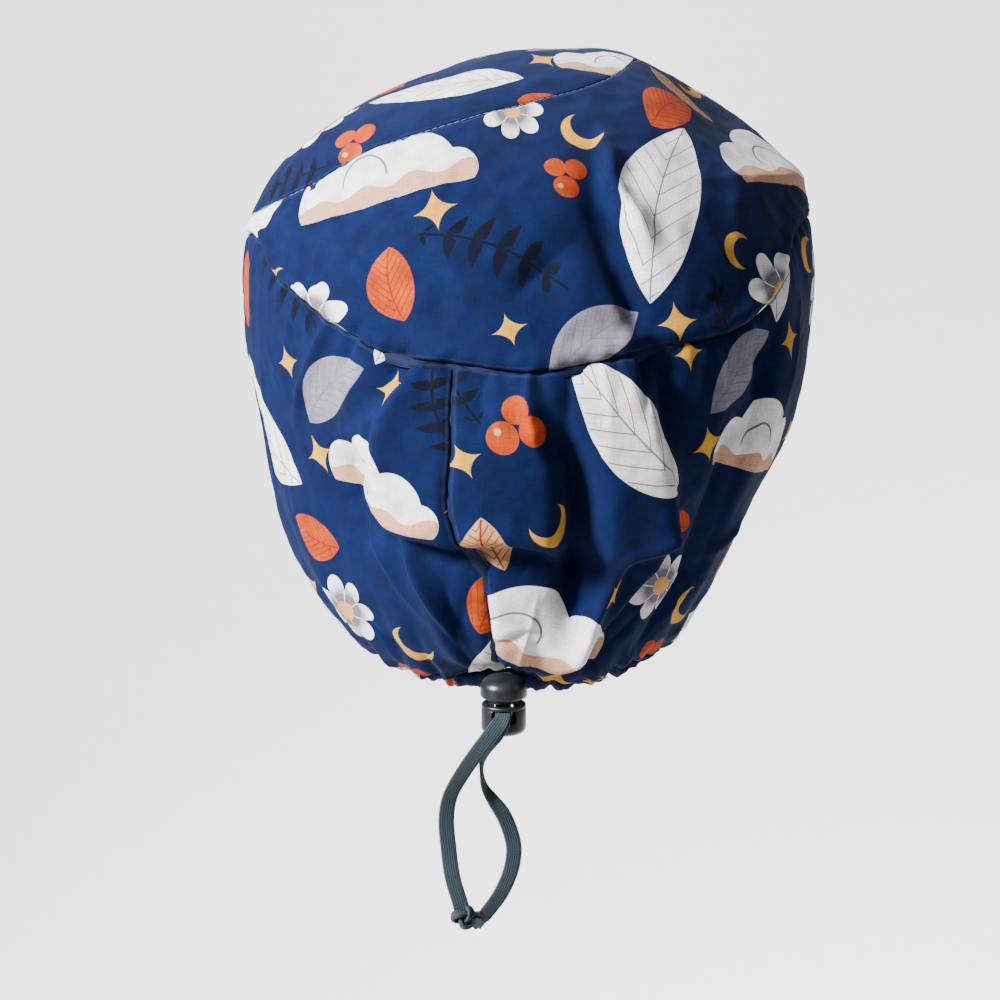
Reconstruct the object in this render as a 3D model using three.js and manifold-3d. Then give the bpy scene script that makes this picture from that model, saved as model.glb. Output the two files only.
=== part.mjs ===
import * as THREE from "three";
import { mergeVertices } from "three/addons/utils/BufferGeometryUtils.js";
import Module from "manifold-3d";

// Scrub cap as it sits on a head: nape at -Y, forehead at +Y, crown up. Millimetres.
// The origin is the middle of the head's opening, level with the plane where it sits.

// Cap sizes
const capWidth = 222;
const capDepth = 226;
const crownHeight = 219;
const clothWall = 1.5;
const turnedHemWall = 2.6;
const turnedHemRows = 2;
const seamGap = 0.3;
const sideSeamGap = 0.8;
const seamDip = 0.7;
const crownOverhang = 2.2;

// Relief sizes: how deep a full fold is, how wide, how far the gathered bulge stands out
const foldDepth = 9;
const foldWidth = 14;
const bulgeDepth = 10;
const gatherDepth = 1.1;

// Casing and elastic sizes
const elasticWidth = 6;
const elasticThick = 1;
const elasticClear = 0.3;
const casingWall = 1.1;
const casingMouth = 11;

// Cord lock sizes
const lockDiameter = 16.8;
const lockLength = 11.3;
const lockWall = 2.2;
const lockFloor = 1.5;
const lockWindowWidth = 9.2;
const lockWindowHeight = 4.9;
const lockWindowRoof = 1.5;
const lockStandOff = 2.6;
const lockDrop = 8.4;
const buttonDiameter = 17.6;
const buttonHead = 8.2;
const buttonTravel = 2.2;
const buttonClear = 0.3;
const buttonWindowWidth = 7.8;
const strandShift = -0.5;

// Mesh steps: columns left and right of the centre back seam, rows on each panel
const leftColumns = 20;
const rightColumns = 24;
const backRows = 19;
const crownRows = 8;
const foreheadRows = 5;
const topRows = 6;
const roundSteps = 24;

const degree = Math.PI / 180;
const sideAngle = 92;
const meridian = 1.37 * crownHeight;

// Level sections from the hem to the crown. rise is the share of the way up the cloth, left to front
// are shares of half the width or depth, and the heights are shares of crownHeight.
const sectionColumns = ["rise", "left", "right", "back", "front", "backZ", "leftZ", "rightZ", "frontZ"];
const sectionRows = [
  [0.00, -0.577, 0.577, -0.690, 0.850, -0.078, -0.037, -0.046, 0.283],
  [0.05, -0.640, 0.631, -0.779, 0.885, -0.055, -0.014, -0.023, 0.315],
  [0.13, -0.748, 0.703, -0.885, 0.920, 0.018, 0.064, 0.046, 0.365],
  [0.24, -0.847, 0.829, -0.973, 0.956, 0.155, 0.183, 0.183, 0.447],
  [0.36, -0.901, 0.982, -1.009, 0.982, 0.320, 0.338, 0.347, 0.557],
  [0.48, -0.955, 1.045, -0.991, 0.991, 0.479, 0.493, 0.511, 0.667],
  [0.60, -0.964, 1.045, -0.929, 0.965, 0.630, 0.630, 0.658, 0.767],
  [0.70, -0.910, 0.973, -0.796, 0.894, 0.758, 0.731, 0.785, 0.854],
  [0.80, -0.757, 0.775, -0.566, 0.743, 0.868, 0.830, 0.886, 0.927],
  [0.90, -0.405, 0.486, -0.265, 0.478, 0.954, 0.929, 0.973, 0.973],
  [1.00, 0.090, 0.090, 0.142, 0.142, 1.000, 1.000, 1.000, 1.000],
];

// Seam lines as [angle from the centre back, rise]; positive angles lie at +X
const archSeam = [
  [-92, 0.650], [-86, 0.662], [-73, 0.690], [-62, 0.712], [-51, 0.744], [-42, 0.780], [-25, 0.812],
  [-8, 0.844], [11, 0.872], [30, 0.888], [47, 0.902], [78, 0.912], [99, 0.868], [101, 0.796],
  [98, 0.717], [92, 0.650],
];
const crownSeam = [
  [-92, 0.630], [-80, 0.650], [-70, 0.652], [-64, 0.636], [-57, 0.600], [-50, 0.580], [-44, 0.560],
  [-36, 0.538], [-28, 0.517], [-15, 0.511], [0, 0.502], [13, 0.514], [25, 0.524], [42, 0.533],
  [50, 0.549], [57, 0.582], [64, 0.622], [78, 0.642], [92, 0.635],
];
// The centre back seam, as [rise, angle]
const centreSeam = [
  [0, -4], [0.10, -4], [0.16, -4.4], [0.22, -6], [0.255, -7.5], [0.285, -11], [0.325, -14],
  [0.42, -14], [0.52, -14],
];

// Folds and dents: height and width are shares of foldDepth and foldWidth, lean raises one side and
// lowers the other, and each point of the path is [angle, rise, strength].
const foldColumns = ["height", "width", "lean", "path"];
const foldRows = [
  // Valley between the two gathered bulges
  [-1.0, 0.42, 0.0, [[4, 0.47, 0], [6, 0.42, 0.6], [9, 0.37, 1], [11, 0.31, 1], [14, 0.24, 0.9], [16, 0.16, 0]]],
  // Edges and pleats of the gathered bulge
  [0.34, 0.26, 0.10, [[-41, 0.55, 0.6], [-44, 0.51, 1], [-53, 0.43, 1], [-58, 0.38, 0]]],
  [0.30, 0.24, 0.16, [[-23, 0.50, 0.5], [-25, 0.47, 1], [-31, 0.43, 1], [-35, 0.37, 0.6], [-36, 0.33, 0]]],
  [-0.42, 0.30, 0.0, [[24, 0.52, 0.6], [26, 0.49, 1], [26, 0.43, 0.6], [28, 0.38, 0]]],
  [-0.32, 0.30, 0.0, [[48, 0.54, 0.5], [50, 0.50, 1], [54, 0.42, 0.4], [56, 0.36, 0]]],
  [0.22, 0.26, 0.0, [[0, 0.50, 0.3], [0, 0.46, 1], [2, 0.42, 0]]],
  // Lower folds that run in to the cord lock
  [0.52, 0.34, -0.30, [[41, 0.27, 0.2], [30, 0.29, 1], [24, 0.27, 1], [22, 0.21, 1], [18, 0.13, 1], [12, 0.07, 0]]],
  [0.40, 0.36, 0.12, [[-32, 0.29, 0.3], [-25, 0.26, 1], [-19, 0.19, 1], [-15, 0.12, 0.8], [-10, 0.06, 0]]],
  [-0.46, 0.34, 0.22, [[47, 0.44, 0], [46, 0.37, 0.8], [48, 0.28, 1], [51, 0.20, 1], [46, 0.13, 0.8], [39, 0.07, 0]]],
  [0.26, 0.22, 0.0, [[66, 0.27, 0], [60, 0.25, 1], [52, 0.21, 0]]],
  [-0.30, 0.30, 0.0, [[-8, 0.25, 0], [-12, 0.18, 1], [-9, 0.09, 0.5], [-6, 0.04, 0]]],
  [-0.46, 1.10, 0.0, [[-37, 0.40, 0.3], [-41, 0.33, 1], [-40, 0.24, 0.5]]],
  [0.28, 0.50, 0.0, [[-60, 0.24, 0], [-52, 0.18, 1], [-42, 0.11, 1], [-36, 0.06, 0]]],
  [-0.26, 0.60, 0.0, [[-84, 0.44, 0], [-78, 0.34, 1], [-70, 0.22, 0.8], [-62, 0.13, 0]]],
  // Crown dents and the corner that the crown makes at the right
  [-0.50, 0.86, 0.0, [[18, 0.80, 0], [16, 0.72, 1], [15, 0.64, 1], [16, 0.54, 0.4]]],
  [0.28, 0.34, 0.0, [[21, 0.79, 0.2], [18, 0.73, 1], [21, 0.69, 1], [25, 0.64, 0]]],
  [-0.30, 0.70, 0.0, [[10, 0.67, 0.6], [2, 0.62, 1], [-6, 0.57, 0]]],
  [0.30, 0.50, 0.0, [[48, 0.72, 0], [60, 0.715, 0.7], [76, 0.70, 1], [88, 0.69, 0.5]]],
  [-0.52, 1.10, 0.0, [[62, 0.80, 0.3], [80, 0.83, 1], [96, 0.87, 0.6]]],
  [0.34, 0.80, 0.0, [[70, 0.925, 0.5], [120, 0.93, 1], [170, 0.92, 0]]],
];

// Spline through a table: slopes at the inner knots follow both neighbours
function spline(knots, values, t, flatEnd) {
  const last = knots.length - 1;
  const slope = (i) => (values[i + 1] - values[i]) / (knots[i + 1] - knots[i]);
  const tangent = (i) => {
    if (i === 0) return slope(0);
    if (i === last) return flatEnd ? 0 : slope(last - 1);
    const before = knots[i] - knots[i - 1];
    const after = knots[i + 1] - knots[i];
    return (slope(i - 1) * after + slope(i) * before) / (before + after);
  };
  if (t <= knots[0]) return values[0] + (t - knots[0]) * tangent(0);
  if (t >= knots[last]) return values[last];
  let i = 0;
  while (i < last - 1 && t >= knots[i + 1]) i += 1;
  const span = knots[i + 1] - knots[i];
  const s = (t - knots[i]) / span;
  const s2 = s * s;
  const s3 = s2 * s;
  return (2 * s3 - 3 * s2 + 1) * values[i] + (s3 - 2 * s2 + s) * span * tangent(i)
    + (3 * s2 - 2 * s3) * values[i + 1] + (s3 - s2) * span * tangent(i + 1);
}

const column = (name) => sectionRows.map((row) => row[sectionColumns.indexOf(name)]);
const sections = Object.fromEntries(sectionColumns.map((name) => [name, column(name)]));
const folds = foldRows.map((row) => Object.fromEntries(foldColumns.map((name, i) => [name, row[i]])));
const section = (name, rise) => spline(sections.rise, sections[name], rise, name.endsWith("Z"));
const mix = (a, b, t) => a + (b - a) * t;
const soft = (t) => 1 / (1 + Math.exp(-t));

// The plain form, before its folds
function plainPoint(angle, rise) {
  const s = Math.sin(angle * degree);
  const c = Math.cos(angle * degree);
  const left = section("left", rise);
  const right = section("right", rise);
  const back = section("back", rise);
  const front = section("front", rise);
  const leftZ = section("leftZ", rise);
  const rightZ = section("rightZ", rise);
  const sideZ = (leftZ + rightZ) / 2 + (rightZ - leftZ) / 2 * s;
  const endZ = c > 0 ? section("backZ", rise) : section("frontZ", rise);
  return new THREE.Vector3(
    capWidth / 2 * ((left + right) / 2 + (right - left) / 2 * s),
    capDepth / 2 * ((back + front) / 2 - (front - back) / 2 * c),
    crownHeight * (sideZ + (endZ - sideZ) * c * c),
  );
}

const tableAt = (table, key, t) => spline(table.map((p) => p[key]), table.map((p) => p[1 - key]), t, false);
const crownSeamRise = (angle) => tableAt(crownSeam, 0, angle);
const centreSeamAngle = (rise) => tableAt(centreSeam, 0, rise);

// Millimetres per degree around the cap at a rise
const degreeLength = (rise) => capWidth / 4 * (section("right", rise) - section("left", rise)) * degree;

// Nearest place on a path of [angle, rise, strength] points: distance, side and strength there
function nearestOnPath(path, angle, rise) {
  const across = Math.max(degreeLength(rise), 0.3);
  let best = { distance: Infinity, side: 0, strength: 0 };
  for (let i = 0; i < path.length - 1; i += 1) {
    const ax = (angle - path[i][0]) * across;
    const ay = (rise - path[i][1]) * meridian;
    const bx = (path[i + 1][0] - path[i][0]) * across;
    const by = (path[i + 1][1] - path[i][1]) * meridian;
    const t = Math.min(1, Math.max(0, (ax * bx + ay * by) / (bx * bx + by * by)));
    const distance = Math.hypot(ax - bx * t, ay - by * t);
    if (distance < best.distance) {
      const side = (bx * ay - by * ax) / Math.hypot(bx, by);
      best = { distance, side, strength: mix(path[i][2], path[i + 1][2], t) };
    }
  }
  return best;
}

function foldRelief(angle, rise) {
  let relief = 0;
  for (const fold of folds) {
    const width = fold.width * foldWidth;
    const near = nearestOnPath(fold.path, angle, rise);
    if (near.distance < 5 * width) {
      const ridge = Math.exp(-((near.distance / width) ** 2));
      const slant = Math.exp(-((near.distance / (2.5 * width)) ** 2)) * Math.tanh(near.side / (0.6 * width));
      relief += foldDepth * near.strength * (fold.height * ridge + fold.lean * slant);
    }
  }
  return relief;
}

// The gathered bulge under the crown seam, steep at its lower edge and its right edge
function bulgeRelief(angle, rise) {
  const leftEdge = mix(-37, -24, soft((0.33 - rise) * 40) * 0.8);
  const rightEdge = mix(23, 37, soft((0.40 - rise) * 22));
  const lowerEdge = 0.284 - 0.014 * soft((angle - 8) / 4);
  return bulgeDepth * soft((angle - leftEdge) / 2.4) * soft((rightEdge - angle) / 1.8)
    * soft((rise - lowerEdge) / 0.009) * soft((0.49 - rise) / 0.022);
}

// The hollow that the cord lock sits in front of
function lockHollow(angle, rise) {
  const aside = (angle - centreSeamAngle(0)) * degreeLength(rise);
  return -1.2 * foldDepth * Math.exp(-((aside / 15) ** 2)) * Math.exp(-(((rise - 0.055) / 0.036) ** 2));
}

// Seams draw the back panels in a little, and the crown panel puffs out just above its lower seam
function seamRelief(angle, rise, part) {
  const aboveCrownSeam = (rise - crownSeamRise(angle)) * meridian;
  if (part === "crown") {
    const ends = soft((sideAngle - 14 - Math.abs(angle)) / 4);
    return crownOverhang * ends * Math.exp(-(((aboveCrownSeam - 4.5) / 4.5) ** 2));
  }
  if (part === "back") {
    const aside = (angle - centreSeamAngle(rise)) * degreeLength(rise);
    return -seamDip * Math.exp(-((aboveCrownSeam / 3) ** 2)) - 1.4 * seamDip * Math.exp(-((aside / 2.4) ** 2));
  }
  return 0;
}

// Flat chart of the cap: the crown is its middle and the hem its unit circle
function chartPoint(p, q) {
  const rise = 1 - Math.hypot(p, q);
  const angle = Math.atan2(p, -q) / degree;
  return { angle, rise };
}
const onChart = (angle, rise) => [(1 - rise) * Math.sin(angle * degree), -(1 - rise) * Math.cos(angle * degree)];

function normalOf(surface, p, q) {
  const step = 0.0015;
  const alongP = surface(p + step, q).sub(surface(p - step, q));
  const alongQ = surface(p, q + step).sub(surface(p, q - step));
  return alongP.cross(alongQ).normalize();
}

const plainOnChart = (p, q) => {
  const { angle, rise } = chartPoint(p, q);
  return plainPoint(angle, rise);
};

// The outer face of the cap, with the seam relief of the panel that is asked for
function outerFace(part) {
  return (p, q) => {
    const { angle, rise } = chartPoint(p, q);
    const relief = foldRelief(angle, rise) + bulgeRelief(angle, rise) + lockHollow(angle, rise)
      + seamRelief(angle, rise, part);
    return plainPoint(angle, rise).addScaledVector(normalOf(plainOnChart, p, q), relief);
  };
}
const outerOnChart = outerFace("plain");

// Closed mesh from points and triangles: points that meet become one, and triangles that close up go
function closedGeometry(points, triangles) {
  const geometry = new THREE.BufferGeometry();
  geometry.setAttribute("position", new THREE.Float32BufferAttribute(points.flatMap((p) => [p.x, p.y, p.z]), 3));
  geometry.setIndex(triangles.flat());
  const welded = mergeVertices(geometry, 1e-3);
  const index = Array.from(welded.index.array);
  const corners = triangles.map((_, k) => index.slice(3 * k, 3 * k + 3));
  welded.setIndex(corners.filter(([a, b, c]) => a !== b && b !== c && c !== a).flat());
  return welded;
}

// A panel of cloth: place(i, j) gives a chart point, ripple(i, j) a push outwards
function clothPanel(part, columns, rows, place, wall, ripple) {
  const face = outerFace(part);
  const points = [];
  const triangles = [];
  const inner = (columns + 1) * (rows + 1);
  const at = (i, j) => j * (columns + 1) + i;
  for (const side of [0, 1]) {
    for (let j = 0; j <= rows; j += 1) {
      for (let i = 0; i <= columns; i += 1) {
        const [p, q] = place(i, j);
        points.push(face(p, q).addScaledVector(normalOf(face, p, q), ripple(i, j) - side * wall(j)));
      }
    }
  }
  for (let j = 0; j < rows; j += 1) {
    for (let i = 0; i < columns; i += 1) {
      const [a, b, c, d] = [at(i, j), at(i + 1, j), at(i + 1, j + 1), at(i, j + 1)];
      triangles.push([a, b, c], [a, c, d]);
      triangles.push([inner + a, inner + c, inner + b], [inner + a, inner + d, inner + c]);
    }
  }
  const rim = [];
  for (let i = 0; i < columns; i += 1) rim.push([at(i, 0), at(i + 1, 0)]);
  for (let j = 0; j < rows; j += 1) rim.push([at(columns, j), at(columns, j + 1)]);
  for (let i = columns; i > 0; i -= 1) rim.push([at(i, rows), at(i - 1, rows)]);
  for (let j = rows; j > 0; j -= 1) rim.push([at(0, j), at(0, j - 1)]);
  for (const [a, b] of rim) triangles.push([a, inner + a, inner + b], [a, inner + b, b]);
  return closedGeometry(points, triangles);
}

// A closed tube or bar through rings of points, with an inner ring where it is hollow
function loft(rings, innerRings) {
  const sides = rings[0].length;
  const count = rings.length;
  const points = [...rings.flat(), ...(innerRings ? innerRings.flat() : [])];
  const triangles = [];
  const at = (ring, side) => ring * sides + (side % sides);
  for (let k = 0; k < count - 1; k += 1) {
    for (let s = 0; s < sides; s += 1) {
      const [a, b, c, d] = [at(k, s), at(k, s + 1), at(k + 1, s + 1), at(k + 1, s)];
      triangles.push([a, b, c], [a, c, d]);
      if (innerRings) {
        const o = sides * count;
        triangles.push([o + a, o + c, o + b], [o + a, o + d, o + c]);
      }
    }
  }
  for (let s = 0; s < sides; s += 1) {
    const o = sides * count;
    const end = count - 1;
    if (innerRings) {
      triangles.push([at(0, s), o + at(0, s), o + at(0, s + 1)], [at(0, s), o + at(0, s + 1), at(0, s + 1)]);
      triangles.push([at(end, s + 1), o + at(end, s + 1), o + at(end, s)], [at(end, s + 1), o + at(end, s), at(end, s)]);
    } else if (s > 0 && s < sides - 1) {
      triangles.push([at(0, 0), at(0, s + 1), at(0, s)], [at(end, 0), at(end, s), at(end, s + 1)]);
    }
  }
  return closedGeometry(points, triangles);
}

// Columns: one list of angles along the crown seam, shared by every panel that meets there
const leftShare = (i) => (i / leftColumns) ** 0.88;
const rightShare = (i) => (i / rightColumns) ** 1.2;
const leftAngle = (i, rise) => mix(-sideAngle, centreSeamAngle(rise), leftShare(i));
const rightAngle = (i, rise) => mix(centreSeamAngle(rise), sideAngle, rightShare(i));
const seamStations = [];
for (let i = 0; i <= leftColumns; i += 1) seamStations.push(leftAngle(i, crownSeam[10][1]));
for (let i = 1; i <= rightColumns; i += 1) seamStations.push(rightAngle(i, crownSeam[10][1]));
const topColumns = leftColumns + rightColumns;

// The arch seam as a curve on the chart, run through by share of its length
const archCurve = new THREE.SplineCurve(archSeam.map(([angle, rise]) => new THREE.Vector2(...onChart(angle, rise))));
const archAt = (i) => archCurve.getPointAt((seamStations[i] + sideAngle) / (2 * sideAngle));

const halfGap = seamGap / 2;
const riseGap = halfGap / meridian;
const angleGap = (rise) => halfGap / degreeLength(rise);
const sideGap = (rise) => sideSeamGap / 2 / degreeLength(rise);
const flatWall = () => clothWall;
const noRipple = () => 0;

// The casing's height on the cap: the panels above it end a gap over its top edge
const casingHeight = elasticWidth + 2 * elasticClear + 2 * casingWall;
const casingThick = elasticThick + 2 * elasticClear + 2 * casingWall;
function casingTopRise(angle) {
  const hemLength = plainPoint(angle, 0.05).distanceTo(plainPoint(angle, 0)) / 0.05;
  return (casingHeight + 2 * seamGap) / hemLength;
}

// Gathers: every other column stands out at the nape hem and dies away up the panel
const gather = (i, rise) => gatherDepth * (i % 2 ? 1 : -1) * Math.exp(-((rise / 0.075) ** 2));

function backPanel(columns, angleAt, edge) {
  const riseAt = (i, j) => {
    const upper = crownSeamRise(angleAt(i, crownSeam[10][1])) - riseGap;
    return mix(casingTopRise(angleAt(i, 0)), upper, j / backRows);
  };
  const place = (i, j) => {
    const rise = riseAt(i, j);
    const gap = i === edge ? angleGap(rise) : sideGap(rise);
    const shift = i === 0 ? gap : i === columns ? -gap : 0;
    return onChart(angleAt(i, rise) + shift, rise);
  };
  const ripple = (i, j) => (i === edge ? 0 : gather(i, riseAt(i, j)));
  return clothPanel("back", columns, backRows, place, flatWall, ripple);
}

const tipRise = archSeam[0][1];

function crownPanel() {
  const place = (i, j) => {
    const angle = seamStations[i];
    const atEnd = i === 0 || i === topColumns;
    const trimmed = atEnd ? angle - Math.sign(angle) * sideGap(tipRise) : angle;
    const low = new THREE.Vector2(...onChart(trimmed, crownSeamRise(angle) + riseGap));
    const high = atEnd ? new THREE.Vector2(...onChart(trimmed, tipRise)) : archAt(i).clone();
    high.addScaledVector(low.clone().sub(high).normalize(), riseGap);
    return low.lerp(high, j / crownRows).toArray();
  };
  return clothPanel("crown", topColumns, crownRows, place, flatWall, noRipple);
}

// Front panel: up from the forehead's hem, turned in there, then over the crown to the arch seam
function frontPanel() {
  const tip = sideAngle + sideGap(tipRise);
  const foot = sideAngle + sideGap(0);
  const around = (i, end) => -end - (seamStations[i] + sideAngle) / (2 * sideAngle) * (360 - 2 * end);
  const place = (i, j) => {
    const shoulder = new THREE.Vector2(...onChart(around(i, tip), tipRise));
    if (j <= foreheadRows) {
      return new THREE.Vector2(...onChart(around(i, foot), 0)).lerp(shoulder, j / foreheadRows).toArray();
    }
    if (i === 0 || i === topColumns) return shoulder.toArray();
    const along = archAt(i + 1).clone().sub(archAt(i - 1));
    const high = archAt(i).clone().add(new THREE.Vector2(-along.y, along.x).setLength(riseGap));
    return shoulder.lerp(high, (j - foreheadRows) / topRows).toArray();
  };
  const wall = (j) => (j < turnedHemRows ? turnedHemWall : clothWall);
  return clothPanel("front", topColumns, foreheadRows + topRows, (i, j) => place(topColumns - i, j), wall, noRipple);
}

// Nape casing: a hollow tube of cloth around the elastic, from the side seam to the mouth at the lock
function casingFrame(angle, push) {
  const top = outerOnChart(...onChart(angle, casingTopRise(angle)));
  const foot = outerOnChart(...onChart(angle, 0));
  const out = normalOf(outerOnChart, ...onChart(angle, casingTopRise(angle) / 2));
  const up = top.clone().sub(foot).normalize();
  const along = new THREE.Vector3().crossVectors(up, out).normalize();
  const face = new THREE.Vector3().crossVectors(along, up).normalize();
  const middle = foot.addScaledVector(up, casingHeight / 2).addScaledVector(face, push - casingThick / 2);
  return { middle, out: face, up };
}

// Sections of the casing's cloth and of the tunnel in it, as shares of height and thickness
const casingSection = [[-0.5, 0], [-0.42, -0.5], [0.5, -0.5], [0.5, 0], [0.5, 0.5], [-0.42, 0.5]];
const tunnelSection = [[-0.5, 0], [-0.5, -0.5], [0.5, -0.5], [0.5, 0], [0.5, 0.5], [-0.5, 0.5]];
const ringOf = (shape, frame, height, thick) => shape.map(([h, t]) => frame.middle.clone()
  .addScaledVector(frame.up, h * height).addScaledVector(frame.out, t * thick));

const mouthAngle = centreSeamAngle(0);
const mouthHalf = casingMouth / 2 / degreeLength(0);

function casingStations(side) {
  const columns = side < 0 ? leftColumns : rightColumns;
  const list = [];
  for (let i = 0; i <= columns; i += 1) {
    const share = side < 0 ? leftShare(i) : 1 - rightShare(columns - i);
    const angle = mix(side * (sideAngle - sideGap(0)), mouthAngle + side * mouthHalf, share);
    const index = side < 0 ? i : columns - i;
    list.push({ angle, push: i === columns ? 0 : gather(index, 0.015) });
  }
  return side < 0 ? list : list.reverse();
}

function casing(side) {
  const frames = casingStations(side).map(({ angle, push }) => casingFrame(angle, push));
  const outer = frames.map((frame) => ringOf(casingSection, frame, casingHeight, casingThick));
  const inner = frames.map((frame) => ringOf(tunnelSection, frame, casingHeight - 2 * casingWall,
    casingThick - 2 * casingWall));
  return loft(outer, inner);
}

// The cord lock's place: in front of the casing's mouth, a little below the hem
const mouth = outerOnChart(...onChart(mouthAngle, casingTopRise(mouthAngle) / 2));
const lockX = mouth.x;
const lockY = mouth.y - lockStandOff - lockDiameter / 2;
const stackHeight = 2 * elasticThick + elasticClear;
const stackZ = mouth.z - lockDrop;
const windowTop = stackZ + stackHeight / 2 + elasticClear;
const barrelTop = windowTop + lockWindowRoof;
const barrelFoot = barrelTop - lockLength;
const strandX = lockX + strandShift;
const strandLevel = (elasticThick + elasticClear) / 2;

function solidOf(geometry) {
  const plain = geometry.clone();
  plain.deleteAttribute("normal");
  plain.deleteAttribute("uv");
  const merged = mergeVertices(plain, 1e-4);
  const mesh = new wasm.Mesh({
    numProp: 3,
    vertProperties: new Float32Array(merged.attributes.position.array),
    triVerts: new Uint32Array(merged.index.array),
  });
  return new wasm.Manifold(mesh);
}

function geometryOf(solid) {
  const mesh = solid.getMesh();
  const geometry = new THREE.BufferGeometry();
  geometry.setAttribute("position", new THREE.Float32BufferAttribute(mesh.vertProperties, 3));
  geometry.setIndex(Array.from(mesh.triVerts));
  return geometry;
}

const wasm = await Module();
wasm.setup();

const turned = (profile) => new THREE.LatheGeometry(profile.map(([r, z]) => new THREE.Vector2(r, z)), roundSteps)
  .rotateX(Math.PI / 2).translate(lockX, lockY, 0);
const windowBlock = (width, low, high) => new THREE.BoxGeometry(width, 3 * lockDiameter, high - low)
  .translate(lockX, lockY, (low + high) / 2);

// Barrel: round foot, bore open at the top, a window right through for the elastic
const barrelRadius = lockDiameter / 2;
const boreRadius = barrelRadius - lockWall;
const lockEdge = 0.8;
const lockFootEdge = 2.4;

function lockBarrel() {
  const foot = barrelFoot;
  const body = solidOf(turned([
    [0, foot], [barrelRadius - lockFootEdge, foot],
    [barrelRadius - 0.3 * lockFootEdge, foot + 0.3 * lockFootEdge], [barrelRadius, foot + lockFootEdge],
    [barrelRadius, barrelTop - 2.6 * lockEdge], [barrelRadius - lockEdge / 2, barrelTop - 2 * lockEdge],
    [barrelRadius, barrelTop - 1.4 * lockEdge], [barrelRadius - lockEdge / 2, barrelTop],
    [boreRadius, barrelTop], [boreRadius, foot + lockFloor], [0, foot + lockFloor],
  ]));
  const window = solidOf(windowBlock(lockWindowWidth, windowTop - lockWindowHeight, windowTop));
  return geometryOf(body.subtract(window));
}

// Button: a domed head on a stem that slides in the bore, with a window as tall as the elastic and travel
const stemRadius = boreRadius - buttonClear;
const headFoot = barrelTop + buttonTravel + buttonClear;
const stemFoot = barrelFoot + lockFloor + buttonTravel + buttonClear;

function lockButton() {
  const radius = buttonDiameter / 2;
  const top = headFoot + buttonHead;
  const body = solidOf(turned([
    [0, stemFoot], [stemRadius, stemFoot], [stemRadius, headFoot], [radius - lockEdge, headFoot],
    [radius, headFoot + lockEdge], [radius, headFoot + 0.42 * buttonHead],
    [0.93 * radius, headFoot + 0.66 * buttonHead], [0.74 * radius, headFoot + 0.86 * buttonHead],
    [0.42 * radius, headFoot + 0.97 * buttonHead], [0, top],
  ]));
  const low = stackZ - stackHeight / 2 - elasticClear;
  const window = solidOf(windowBlock(buttonWindowWidth, low, windowTop + buttonTravel + buttonClear));
  return geometryOf(body.subtract(window));
}

// Elastic in the casing: follows it, comes out of the mouth, turns flat and enters the lock from behind
function elasticRing(middle, across, out) {
  return [[-0.5, -0.5], [0.5, -0.5], [0.5, 0.5], [-0.5, 0.5]].map(([w, t]) => middle.clone()
    .addScaledVector(across, w * elasticWidth).addScaledVector(out, t * elasticThick));
}

function casingElastic(side) {
  const stations = casingStations(side);
  const frames = stations.map(({ angle, push }) => casingFrame(angle, push));
  const ordered = side < 0 ? frames : frames.reverse();
  const rings = ordered.map((frame) => elasticRing(frame.middle, frame.up, frame.out));
  const last = ordered[ordered.length - 1];
  const level = stackZ - side * strandLevel;
  const end = new THREE.Vector3(strandX, lockY + elasticClear / 2, level);
  const gate = new THREE.Vector3(strandX, lockY + barrelRadius + 0.4, level);
  const bend = new THREE.Vector3(mix(last.middle.x, strandX, 0.5), gate.y + 2.2, mix(last.middle.z, level, 0.5));
  const flat = new THREE.Vector3(1, 0, 0);
  const turn = (share) => {
    const across = last.up.clone().multiplyScalar(1 - share).addScaledVector(flat, -side * share).normalize();
    const ahead = new THREE.Vector3(-side, 0, 0).multiplyScalar(1 - share).add(new THREE.Vector3(0, -share, 0));
    return { across, out: new THREE.Vector3().crossVectors(ahead, across).setLength(-side) };
  };
  [[bend, 0.5], [gate, 1], [end, 1]].forEach(([middle, share]) => {
    const { across, out } = turn(share);
    rings.push(elasticRing(middle, across, out));
  });
  return loft(side < 0 ? rings : rings.reverse());
}

// Free ends of the elastic: points chosen by hand, from the middle of the lock to the knot
const strandPaths = {
  left: [[0, 0, 0], [0, -7, 0], [-0.6, -10.6, -1.4], [-3.1, -12, -4.6], [-8.4, -12.4, -11.6],
    [-14.8, -12.2, -21], [-19.6, -11.6, -30.2], [-21.1, -10.8, -39], [-20.4, -10.3, -50.5],
    [-18.9, -9.9, -62.5], [-16, -9.7, -73.1]],
  right: [[0, 0, 0], [0, -7, 0], [-0.3, -9.2, -1.6], [-2.7, -9.8, -6.2], [-6.9, -8.2, -14.4],
    [-8, -6.9, -21], [-6.9, -6.9, -27], [-3.9, -7.6, -31.7], [-0.1, -8.5, -37], [2.9, -9, -44.4],
    [4, -9.2, -50.5], [2.9, -9.2, -58.6], [-0.9, -9.3, -67.8], [-7.3, -9.5, -77]],
};
// The direction of the elastic's width at the same points
const strandAcross = {
  left: [[1, 0, 0], [1, 0, 0], [1, 0, 0], [0.9, 0, -0.3], [0.82, 0.1, -0.55],
    [0.86, 0.2, -0.4], [0.95, 0.25, -0.15], [1, 0.2, 0], [1, 0.1, 0.1],
    [0.96, 0, 0.2], [0.9, 0, 0.3]],
  right: [[1, 0, 0], [1, 0, 0], [1, 0, 0], [0.9, 0.2, -0.3], [0.5, 0.8, -0.1],
    [0.1, 1, 0], [0.3, 0.95, 0.1], [0.6, 0.75, 0.3], [0.85, 0.45, 0.4], [0.95, 0.25, 0.2],
    [1, 0.15, 0], [0.95, 0.15, -0.25], [0.85, 0.2, -0.5], [0.65, 0.3, -0.7]],
};
const strandSteps = 30;

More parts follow.
